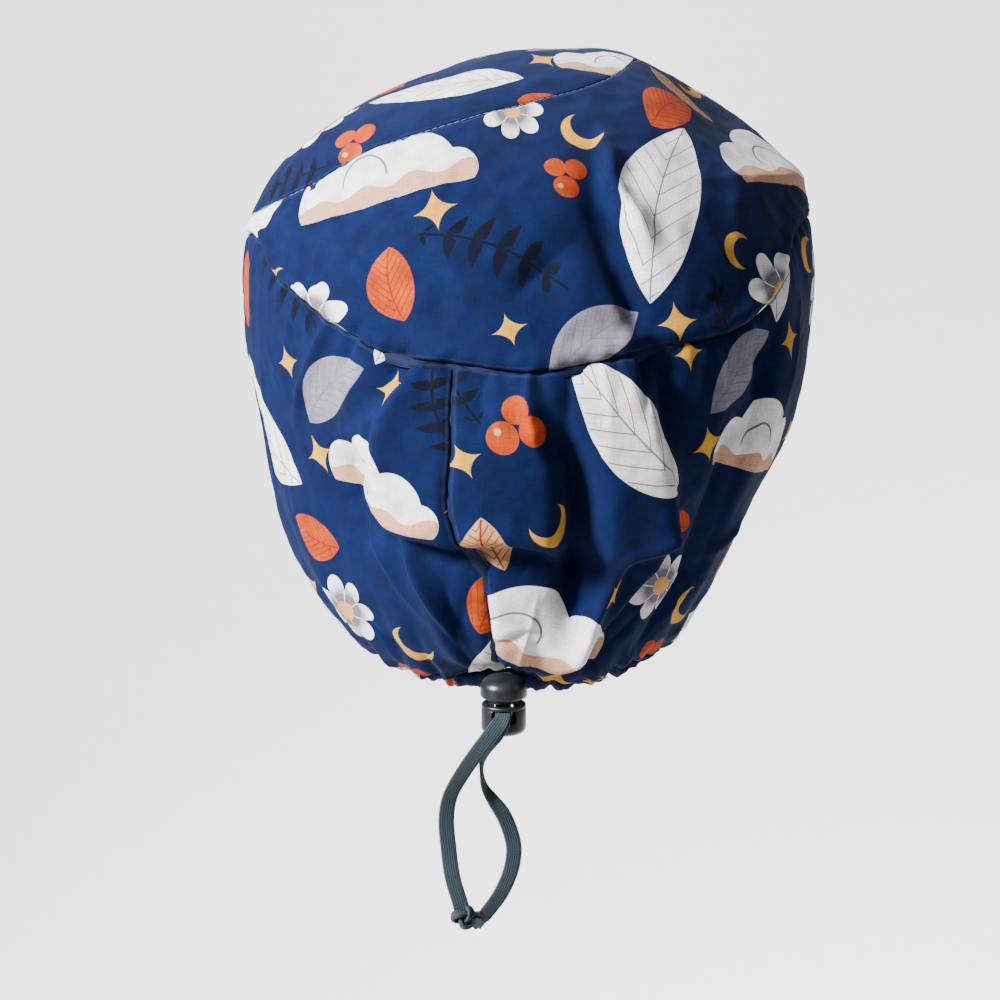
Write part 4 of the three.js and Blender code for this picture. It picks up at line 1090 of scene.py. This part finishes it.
# The flat cut of a panel, found by letting a coarse net of it relax into the plane
def flatCut(points, every, rounds=900, pace=0.4):
    rows, columns = points.shape[0] // every + 1, points.shape[1] // every + 1
    net = points[::every, ::every]
    run = lengthsFrom(points[::every], 1)[:, ::every]
    climb = lengthsFrom(points[:, ::every], 0)[::every]
    restAcross, restUp = np.diff(run, axis=1), np.diff(climb, axis=0)
    straight = lambda a, b: np.linalg.norm(a - b, axis=-1)
    fuller = (restAcross.sum() / straight(net[:, 1:], net[:, :-1]).sum()
              + restUp.sum() / straight(net[1:], net[:-1]).sum()) / 2
    families = [
        ((slice(None), slice(0, -1)), (slice(None), slice(1, None)), restAcross),
        ((slice(0, -1), slice(None)), (slice(1, None), slice(None)), restUp),
        ((slice(0, -1), slice(0, -1)), (slice(1, None), slice(1, None)),
         straight(net[1:, 1:], net[:-1, :-1]) * fuller),
        ((slice(0, -1), slice(1, None)), (slice(1, None), slice(0, -1)),
         straight(net[1:, :-1], net[:-1, 1:]) * fuller),
    ]
    flat = np.stack([run - run[:, columns // 2][:, None],
                     np.broadcast_to(climb[:, columns // 2][:, None], run.shape)], -1)
    for _ in range(rounds):
        push = np.zeros_like(flat)
        for first, second, rest in families:
            apart = flat[second] - flat[first]
            length = np.maximum(np.linalg.norm(apart, axis=-1), 1e-6)
            step = apart * (0.5 * (1 - rest / length))[..., None]
            push[first] += step
            push[second] -= step
        flat += pace * push
    i, j = np.arange(points.shape[0]) / every, np.arange(points.shape[1]) / every
    layers = []
    for k in (0, 1):
        wide = np.stack([np.interp(j, np.arange(columns), row) for row in flat[..., k]])
        layers.append(np.stack([np.interp(i, np.arange(rows), column) for column in wide.T], 1))
    return np.stack(layers, -1)


clothWall = 0.8
netEvery = 5
hemFold = {"width": 7.5, "thick": 1.0, "fade": 0.5}
# Each seam has the pull of its stitches and the roll of its edge. The grid is columns by rows, and the
# print is laid on the flat cut in degrees and mm.
panels = {
    "front_cloth": {
        "part": "front", "place": frontPlace, "grid": (220, 170), "node": "front_panel",
        "seams": {"high": (0.3, 0.3), "start": (0.5, 1), "end": (0.5, 1)}, "hem": True,
        "flat": (0.36, 0.30), "area": 0.082, "held": "gathered", "printTurn": 176, "printShift": (31, 12),
        "with": ["front_hem_stitches"]},
    "crown_cloth": {
        "part": "crown", "place": crownPlace, "grid": (300, 110), "node": "crown_panel",
        "seams": {"high": (0.3, 0.3), "low": (0.8, 1.2), "start": (0.2, 1), "end": (0.2, 1)}, "hem": False,
        "flat": (0.33, 0.13), "area": 0.027, "held": "stretched", "printTurn": 4, "printShift": (10, -22),
        "with": ["arch_stitches", "seam_allowances"]},
    "back_cloth_left": {
        "part": "back", "place": backPlace(-1), "grid": (170, 150), "node": "back_panel_left",
        "seams": {"high": (1.3, 1), "low": (0.5, 0.3), "start": (0.5, 1), "end": (0.6, 0.45)}, "hem": False,
        "flat": (0.19, 0.17), "area": 0.026, "held": "gathered", "printTurn": -6, "printShift": (-6, 46),
        "with": ["hem_casing_left", "casing_stitches"]},
    "back_cloth_right": {
        "part": "back", "place": backPlace(1), "grid": (200, 150), "node": "back_panel_right",
        "seams": {"high": (1.3, 1), "low": (0.5, 0.3), "start": (0.6, 0.45), "end": (0.5, 1)}, "hem": False,
        "flat": (0.22, 0.17), "area": 0.031, "held": "gathered", "printTurn": 9, "printShift": (24, 40),
        "with": ["hem_casing_right"]},
}


def panelGrid(panel, columns, rows):
    s, t = np.meshgrid(np.linspace(0, 1, columns + 1), np.linspace(0, 1, rows + 1))
    chart = panel["place"](s, t)
    angle, rise = fromChart(chart)
    plain = plainPoint(angle, rise)
    edges = panelEdges(plain, panel["seams"])
    fine = fineRelief(angle, rise, plain, panel["part"], edges)
    points = outerPoint(chart, panel["part"], fine)
    seamAway = np.min([edge["away"] for edge in edges], axis=0)
    return points, plainNormal(chart), seamAway


def gridNormals(points, guide):
    made = np.cross(np.gradient(points, axis=1), np.gradient(points, axis=0))
    length = np.linalg.norm(made, axis=-1, keepdims=True)
    made = np.where(length > 1e-3, made / np.maximum(length, 1e-9), guide)
    turn = 1 if np.sum(made * guide) > 0 else -1
    return made * turn, turn


def makePanel(name, panel):
    columns, rows = panel["grid"]
    points, guide, seamAway = panelGrid(panel, columns, rows)
    normals, turn = gridNormals(points, guide)
    for _ in range(2):
        normals[1:-1, 1:-1] = unit(normals[1:-1, 1:-1] * 2 + normals[:-2, 1:-1] + normals[2:, 1:-1]
                                   + normals[1:-1, :-2] + normals[1:-1, 2:])
    wall = np.full(points.shape[:2], clothWall)
    if panel["hem"]:
        wall += hemFold["thick"] * soft((hemFold["width"] - lengthsFrom(points, 0)) / hemFold["fade"])
    inner = points - normals * wall[..., None]
    at = lambda j, i: j * (columns + 1) + i
    j, i = np.meshgrid(np.arange(rows), np.arange(columns), indexing="ij")
    quads = np.stack([at(j, i), at(j, i + 1), at(j + 1, i + 1), at(j + 1, i)], -1).reshape(-1, 4)
    if turn < 0:
        quads = quads[:, ::-1]
    count = (rows + 1) * (columns + 1)
    loop = ([at(0, k) for k in range(columns)] + [at(k, columns) for k in range(rows)]
            + [at(rows, k) for k in range(columns, 0, -1)] + [at(k, 0) for k in range(rows, 0, -1)])
    rim = [(a, a + count, b + count, b) for a, b in zip(loop, loop[1:] + loop[:1])]
    if turn < 0:
        rim = [face[::-1] for face in rim]
    faces = quads.tolist() + (quads[:, ::-1] + count).tolist() + rim
    kinds = [0] * len(quads) + [1] * len(quads) + [0] * len(rim)
    both = np.concatenate([points.reshape(-1, 3), inner.reshape(-1, 3)])
    piece = addMesh(name, both, faces, [clothFace, clothBack], kinds)
    flat = flatCut(points, netEvery)
    turnBy = panel["printTurn"] * degree
    spin = np.array([[math.cos(turnBy), math.sin(turnBy)], [-math.sin(turnBy), math.cos(turnBy)]])
    flat = flat.reshape(-1, 2) @ spin + panel["printShift"]
    writeUv(piece, np.concatenate([flat, flat]))
    writeSeamAway(piece, np.tile(seamAway.ravel(), 2))
    weld(piece)
    settle(piece, panel["node"])
    area = np.linalg.norm(np.cross(points[:-1, 1:] - points[:-1, :-1], points[1:, :-1] - points[:-1, :-1]),
                          axis=-1).sum()
    print(name, "area", round(float(area) / 1e6, 4), "faces", len(piece.data.polygons))
    return piece


clothPieces = {name: makePanel(name, panel) for name, panel in panels.items()}
print("panels made")

# Casing at the nape hem: a gathered tube of cloth round the elastic, open at the lock
casings = {
    "hem_casing_left": {"side": -1, "node": "nape_casing_left", "elastic": "casing_elastic_left"},
    "hem_casing_right": {"side": 1, "node": "nape_casing_right", "elastic": "casing_elastic_right"},
}
casingLook = {"steps": 300, "corners": 26, "slit": 0.24, "pinch": 0.16, "pinchPeriod": 4.8, "swell": 0.22,
              "ripple": 0.10, "stitchAt": 0.36, "stitchDent": 0.55, "sewnIn": 0.30, "fullness": 1.5,
              "smoothFrom": 3.5, "smoothFade": 0.8, "printShift": (7, 31)}
slitHalf = casingLook["slit"] / 2 / float(degreeLength(0))


def casingFrames(angle, push):
    chartTop, chartFoot = onChart(angle, casingTopRise(angle)), onChart(angle, 0 * angle)
    top, foot = outerPoint(chartTop), outerPoint(chartFoot)
    out = plainNormal(onChart(angle, casingTopRise(angle) / 2), lambda at: outerPoint(at))
    up = unit(top - foot)
    along = unit(np.cross(up, out))
    face = unit(np.cross(along, up))
    middle = foot + up * casingHeight / 2 + face * (push - casingThick / 2)[:, None]
    return middle, face, up


def casingAngles(side, steps):
    start = side * (sideAngle - float(sideGap(0)))
    return np.linspace(start, mouthAngle + side * slitHalf, steps + 1)


# Section of the tube, flatter at its top edge than at its foot
def roundedSection(height, thick, points):
    shape = []
    for k in range(points):
        turn = 2 * math.pi * k / points
        h, t = math.cos(turn), math.sin(turn)
        power = 0.45 if h > 0 else 0.7
        shape.append((math.copysign(abs(h) ** power, h) * height / 2,
                      math.copysign(abs(t) ** 0.55, t) * thick / 2))
    return np.array(shape)


def makeCasing(name, casing):
    look, side = casingLook, casing["side"]
    angle = casingAngles(side, look["steps"])
    settled = soft((np.abs(angle - mouthAngle) - look["smoothFrom"]) / look["smoothFade"])
    push = gatherRelief(angle, 0.015 + 0 * angle) * settled
    middle, face, up = casingFrames(angle, push)
    shape = roundedSection(casingHeight, casingThick, look["corners"])
    outer = ringsOf(middle, up, face, shape)
    swell = waves(outer, 31, 9, (1, 1, 0.3)) * look["swell"] + waves(outer, 32, 4.5) * look["ripple"]
    lengthAlong = lengthsFrom(middle)
    wander = 2.2 * waves(middle, 33, 24)
    pinch = np.cos(2 * math.pi * lengthAlong / look["pinchPeriod"] + wander) * look["pinch"]
    outerHalf = np.clip(shape[None, :, 1] / casingThick * 2, 0, 1)
    bulgeOut = (swell + pinch[:, None] * outerHalf) * settled[:, None]
    stitched = bell((shape[:, 0] - casingHeight * look["stitchAt"]) / 0.8) * np.clip(shape[:, 1], 0, 1)
    outer = outer + face[:, None] * (bulgeOut - look["stitchDent"] * stitched[None])[..., None]
    holeThick = casingThick - 2 * casingWall + 0.1
    hole = roundedSection(casingHeight - 2 * casingWall, holeThick, look["corners"])
    inner = ringsOf(middle, up, face, hole)
    count, sides = outer.shape[:2]
    first = count * sides
    faces = loftFaces(count, sides, ends="open")
    inside = [quad[::-1] for quad in loftFaces(count, sides, first, "open")]
    ends = []
    for k, reverse in ((0, False), (count - 1, True)):
        for s in range(sides):
            t = (s + 1) % sides
            face4 = (k * sides + s, first + k * sides + s, first + k * sides + t, k * sides + t)
            ends.append(face4[::-1] if reverse else face4)
    kinds = [0] * len(faces) + [1] * len(inside) + [0] * len(ends)
    both = np.concatenate([outer.reshape(-1, 3), inner.reshape(-1, 3)])
    piece = addMesh(name, both, faces + inside + ends, [clothFace, clothBack], kinds)
    recalcOutside(piece)
    around = lengthsFrom(shape)
    along, above = look["printShift"]
    flat = np.stack([np.repeat(lengthAlong * look["fullness"] * side, sides), np.tile(around, count)], 1)
    flat = flat + [along * side, above]
    writeUv(piece, np.concatenate([flat, flat]))
    writeSeamAway(piece)
    settle(piece, casing["node"])
    seamRow = middle + up * casingHeight * look["stitchAt"] + face * (casingThick / 2 - look["sewnIn"])
    return middle, face, up, seamRow


def makeCasingElastic(casing, frames):
    side = casing["side"]
    middle, face, up, _ = frames
    level = stackZ - side * strandLevel
    gate = np.array([strandX, lockY + lockSize["diameter"] / 2 + 0.4, level])
    end = np.array([strandX, lockY + elasticClear / 2, level])
    last = middle[-1]
    bend = np.array([mix(last[0], strandX, 0.5), gate[1] + 2.2, mix(last[2], level, 0.5)])
    flatWay = np.array([-side, 0, 0.0])
    turning = [unit(up[-1] * 0.5 + flatWay * 0.5), flatWay, flatWay]
    tail = np.array([last, bend, gate, end])
    wide = np.array([up[-1]] + turning)
    t = np.linspace(0, 1, 34)[1:]
    line = np.vstack([middle[::3], middle[-1:], throughPoints(tail, t)])
    across = np.vstack([up[::3], up[-1:], unit(throughPoints(wide, t))])
    keep = np.concatenate([[True], np.linalg.norm(np.diff(line, axis=0), axis=1) > 1e-4])
    name = casing["elastic"].replace("casing_elastic", "hem_elastic")
    piece = ribbon(name, line[keep], across[keep], elastic)
    return settle(piece, casing["elastic"])


# Rows of stitches as one mesh: short bowed threads laid along a line on the cloth
def stitchRow(name, lines, stitch, gap, radius, material, bow=0.35):
    lofts, ring, steps = [], 6, 5
    for line, normal in lines:
        length = lengthsFrom(line)
        for start in np.arange(0.4, length[-1] - stitch, stitch + gap):
            t = start + np.linspace(0, stitch, steps)
            middle, out = pointsAlong(t, length, line), unit(pointsAlong(t, length, normal))
            ahead = unit(np.gradient(middle, axis=0))
            across = np.cross(ahead, out)
            swell = np.sin(np.linspace(0.12, math.pi - 0.12, steps))
            middle = middle + out * (swell * bow * radius * 2 - radius * 0.6)[:, None]
            turn = 2 * math.pi * np.arange(ring) / ring
            size = radius * (0.45 + 0.55 * swell)[:, None]
            rings = (middle[:, None] + across[:, None] * (np.cos(turn) * size)[..., None]
                     + out[:, None] * (np.sin(turn) * size)[..., None])
            lofts.append((rings, "closed"))
    piece = addMesh(name, *joinLofts(lofts), material)
    recalcOutside(piece)
    return settle(piece)


stitches = {
    "casing": {"stitch": 2.3, "gap": 0.9, "radius": 0.22, "material": navyThreadAndSeamShade},
    "arch": {"stitch": 2.5, "gap": 0.35, "radius": 0.15, "material": paleThread},
    "hem": {"stitch": 2.6, "gap": 0.7, "radius": 0.22, "material": navyThreadAndSeamShade},
}
hemRowRise = 0.026


def surfaceLine(chart, part, lift):
    angle, rise = fromChart(chart)
    plain = plainPoint(angle, rise)
    normal = plainNormal(chart)
    return outerPoint(chart, part, slowWaves(plain) + lift), normal


hemRows = []
for casingName, casing in casings.items():
    casingFrame = makeCasing(casingName, casing)
    makeCasingElastic(casing, casingFrame)
    hemRows.append((casingFrame[3], casingFrame[1]))
stitchRow("casing_stitches", hemRows, **stitches["casing"])
archChart = archAt(np.linspace(0.004, 0.996, 900))
stitchRow("arch_stitches", [surfaceLine(archChart, "plain", -0.25)], **stitches["arch"])
hemAngles = np.linspace(sideAngle + 1, 360 - sideAngle - 1, 700)
hemChart = onChart(hemAngles, hemRowRise + 0 * hemAngles)
stitchRow("front_hem_stitches", [surfaceLine(hemChart, "front", 0.25)], **stitches["hem"])
print("casings and stitches made")


# Seam allowances: narrow strips of the cloth's own edge behind each seam, inside the cap
allowance = {"width": 5.5, "thick": 0.7, "depth": 1.75, "wave": 0.25, "corners": 6, "from": 0.05,
             "centreFrom": 0.062}


def seamStrip(chart):
    line = outerPoint(chart)
    normal = plainNormal(chart, lambda at: outerPoint(at))
    ahead = unit(np.gradient(line, axis=0))
    across = unit(np.cross(ahead, normal))
    wavy = waves(line, 41, 14) * allowance["wave"]
    middle = line - normal * (allowance["depth"] + wavy)[:, None]
    half, thin = allowance["width"] / 2, allowance["thick"] / 2
    shape = [(-half, -thin * 0.6), (0, -thin * 1.3), (half, -thin * 0.6), (half, thin * 0.4), (0, thin),
             (-half, thin * 0.4)]
    return ringsOf(middle, across, normal, shape)


def makeSeamStrips():
    angles = np.linspace(-90, 90, 240)
    rises = np.linspace(allowance["centreFrom"], 0.5, 120)
    sideRises = np.linspace(allowance["from"], 0.62, 140)
    charts = [archChart[10:-10:4], onChart(angles, crownSeamRise(angles)),
              onChart(centreSeamAngle(rises), rises)]
    charts += [onChart(side * sideAngle + 0 * sideRises, sideRises) for side in (-1, 1)]
    lofts = [(seamStrip(chart), "closed") for chart in charts]
    points, faces = joinLofts(lofts)
    flats = []
    for rings, ends in lofts:
        count, sides = rings.shape[:2]
        run = lengthsFrom(rings.mean(1))
        flats.append(np.stack([np.repeat(run, sides), np.tile([0, 2.7, 5.5, 6, 3, 0.3], count)], 1))
    # The side of each strip that faces the seam is plain dark navy, painted shade so that the seams' gaps
    # read dark; the other shows the cloth's reverse
    corners = allowance["corners"]
    kinds = [0 if min(v % corners for v in face) >= corners // 2 else 1 for face in faces]
    # Painted shade: the faces toward the seams take the plain dark navy thread material
    piece = addMesh("seam_allowances", points, faces, [navyThreadAndSeamShade, clothBack], kinds)
    recalcOutside(piece)
    writeUv(piece, np.vstack(flats))
    writeSeamAway(piece)
    return settle(piece)


makeSeamStrips()
print("seam allowances made")


# Cord lock: turned profiles with a window cut through for the elastic
def arcPoints(centre, radius, start, end, steps):
    return [(centre[0] + radius * math.cos(a), centre[1] + radius * math.sin(a))
            for a in np.linspace(start * degree, end * degree, steps)]


def turnedPiece(name, profile, segments=72):
    points, faces = [], []
    for k in range(segments):
        turn = 2 * math.pi * k / segments
        points += [(lockX + r * math.cos(turn), lockY + r * math.sin(turn), z) for r, z in profile]
    count = len(profile)
    for k in range(segments):
        other = (k + 1) % segments
        for p in range(count - 1):
            faces.append((k * count + p, other * count + p, other * count + p + 1, k * count + p + 1))
    piece = addMesh(name, points, faces, plastic)
    weld(piece)
    recalcOutside(piece)
    return piece


def cutWindow(piece, width, low, high, roundness):
    steps = 6
    aside, top, foot = width / 2 - roundness, high - roundness, low + roundness
    corners = [(aside, top, 0), (-aside, top, 90), (-aside, foot, 180), (aside, foot, 270)]
    outline = [p for x, z, a in corners for p in arcPoints((x, z), roundness, a, a + 90, steps)]
    points = [(lockX + x, lockY + y, z) for y in (-20, 20) for x, z in outline]
    count = len(outline)
    faces = [tuple(range(count)), tuple(reversed(range(count, 2 * count)))]
    faces += [(k, k + count, (k + 1) % count + count, (k + 1) % count) for k in range(count)]
    cutter = addMesh("cutter", points, faces, plastic)
    recalcOutside(cutter)
    cut = piece.modifiers.new("window", "BOOLEAN")
    cut.operation, cut.solver, cut.object = "DIFFERENCE", "EXACT", cutter
    soften = piece.modifiers.new("edges", "BEVEL")
    soften.width, soften.segments = 0.22 * mm, 2
    soften.limit_method, soften.angle_limit = "ANGLE", 40 * degree
    evaluated = piece.evaluated_get(bpy.context.evaluated_depsgraph_get())
    finished = bpy.data.meshes.new_from_object(evaluated)
    piece.modifiers.clear()
    piece.data = finished
    bpy.data.objects.remove(cutter)
    finished.polygons.foreach_set("use_smooth", [True] * len(finished.polygons))
    finished.set_sharp_from_angle(angle=38 * degree)


def makeBarrel():
    radius = lockSize["diameter"] / 2
    bore = radius - lockSize["wall"]
    edge, foot = lockSize["edge"], lockSize["footEdge"]
    groove = edge / 2
    profile = [(0, barrelFoot), (radius - foot, barrelFoot)]
    profile += arcPoints((radius - foot, barrelFoot + foot), foot, -90, 0, 9)[1:]
    profile += arcPoints((radius + 0.05, barrelTop - 2 * edge), groove, 250, 110, 9)
    profile += arcPoints((radius - edge, barrelTop - edge * 0.9), edge * 0.9, 0, 90, 7)
    profile += [(bore + 0.3, barrelTop), (bore, barrelTop - 0.3), (bore, barrelFoot + lockSize["floor"]),
                (0, barrelFoot + lockSize["floor"])]
    piece = turnedPiece("lock_barrel", profile)
    cutWindow(piece, lockSize["windowWidth"], windowTop - lockSize["windowHeight"], windowTop,
              lockSize["windowCorner"])
    return settle(piece, "cord_lock_barrel")


def makeButton():
    radius = buttonSize["diameter"] / 2
    stem = lockSize["diameter"] / 2 - lockSize["wall"] - buttonSize["clear"]
    headFoot = barrelTop + buttonSize["travel"] + buttonSize["clear"]
    stemFoot = barrelFoot + lockSize["floor"] + buttonSize["travel"] + buttonSize["clear"]
    side = buttonSize["sideShare"] * buttonSize["head"]
    dome, edge = buttonSize["head"] - side, buttonSize["edge"]
    profile = [(0, stemFoot), (stem - 0.3, stemFoot), (stem, stemFoot + 0.3), (stem, headFoot)]
    profile += [(radius - edge, headFoot)]
    profile += arcPoints((radius - edge, headFoot + edge), edge, -90, 0, 7)[1:]
    for turn in np.linspace(0, math.pi / 2, buttonSize["domeSteps"] + 1)[1:]:
        out = radius * max(math.cos(turn), 0) ** buttonSize["domePower"]
        profile.append((out, headFoot + side + dome * math.sin(turn)))
    profile[-1] = (0, profile[-1][1])
    piece = turnedPiece("lock_button", profile)
    low, high = stackZ - stackHeight / 2 - elasticClear, windowTop + buttonSize["travel"]
    cutWindow(piece, buttonSize["windowWidth"], low, high, buttonSize["windowCorner"])
    return settle(piece, "cord_lock_button", body="lock_button")


makeBarrel()
makeButton()
print("cord lock made")

# A pale floor well below, soft light from the upper left, and a pale surround
stage = {"floorZ": -560, "front": -6000, "bend": 1900, "radius": 1200, "top": 5000, "half": 7000,
         "floor": (0.90, 0.90, 0.90, 1), "world": 0.32}
lights = [
    {"name": "key", "at": (-1.75, -1.05, 1.12), "to": (0, 0, 0.08), "size": 0.5, "power": 42,
     "spread": 56, "colour": (1.0, 0.985, 0.96)},
    {"name": "fill", "at": (-0.3, -2.4, 0.5), "to": (0, 0, 0.08), "size": 1.4, "power": 1.5,
     "spread": 60, "colour": (1, 1, 1)},
    {"name": "backdropLight", "at": (0, 1.6, 1.9), "to": (0, 3.0, -0.2), "size": 3.0, "power": 200,
     "spread": 180, "colour": (1, 1, 1)},
]


def makeStage():
    bend, radius, low = stage["bend"], stage["radius"], stage["floorZ"]
    profile = [(stage["front"], low), (0, low)]
    profile += arcPoints((bend, low + radius), radius, -90, 0, 14)
    profile += [(bend + radius, stage["top"])]
    columns = [-stage["half"], 0, stage["half"]]
    points = [(x, y, z) for y, z in profile for x in columns]
    faces = [(r * 3 + c, r * 3 + c + 1, r * 3 + c + 4, r * 3 + c + 3)
             for r in range(len(profile) - 1) for c in range(2)]
    floor = addMesh("floor", points, faces, plainMaterial("paleFloor", stage["floor"], 0.9))
    world = bpy.data.worlds.new("studio")
    scene.world = world
    world.use_nodes = True
    background = world.node_tree.nodes["Background"].inputs
    background["Color"].default_value = (1, 1, 1, 1)
    background["Strength"].default_value = stage["world"]
    for light in lights:
        data = bpy.data.lights.new(light["name"], "AREA")
        data.size, data.energy, data.color = light["size"], light["power"], light["colour"]
        data.spread = light["spread"] * degree
        lamp = bpy.data.objects.new(light["name"], data)
        lamp.location = light["at"]
        ahead = Vector(light["to"]) - Vector(light["at"])
        lamp.rotation_euler = ahead.to_track_quat("-Z", "Y").to_euler()
        scene.collection.objects.link(lamp)


makeStage()
print("stage and lights made")

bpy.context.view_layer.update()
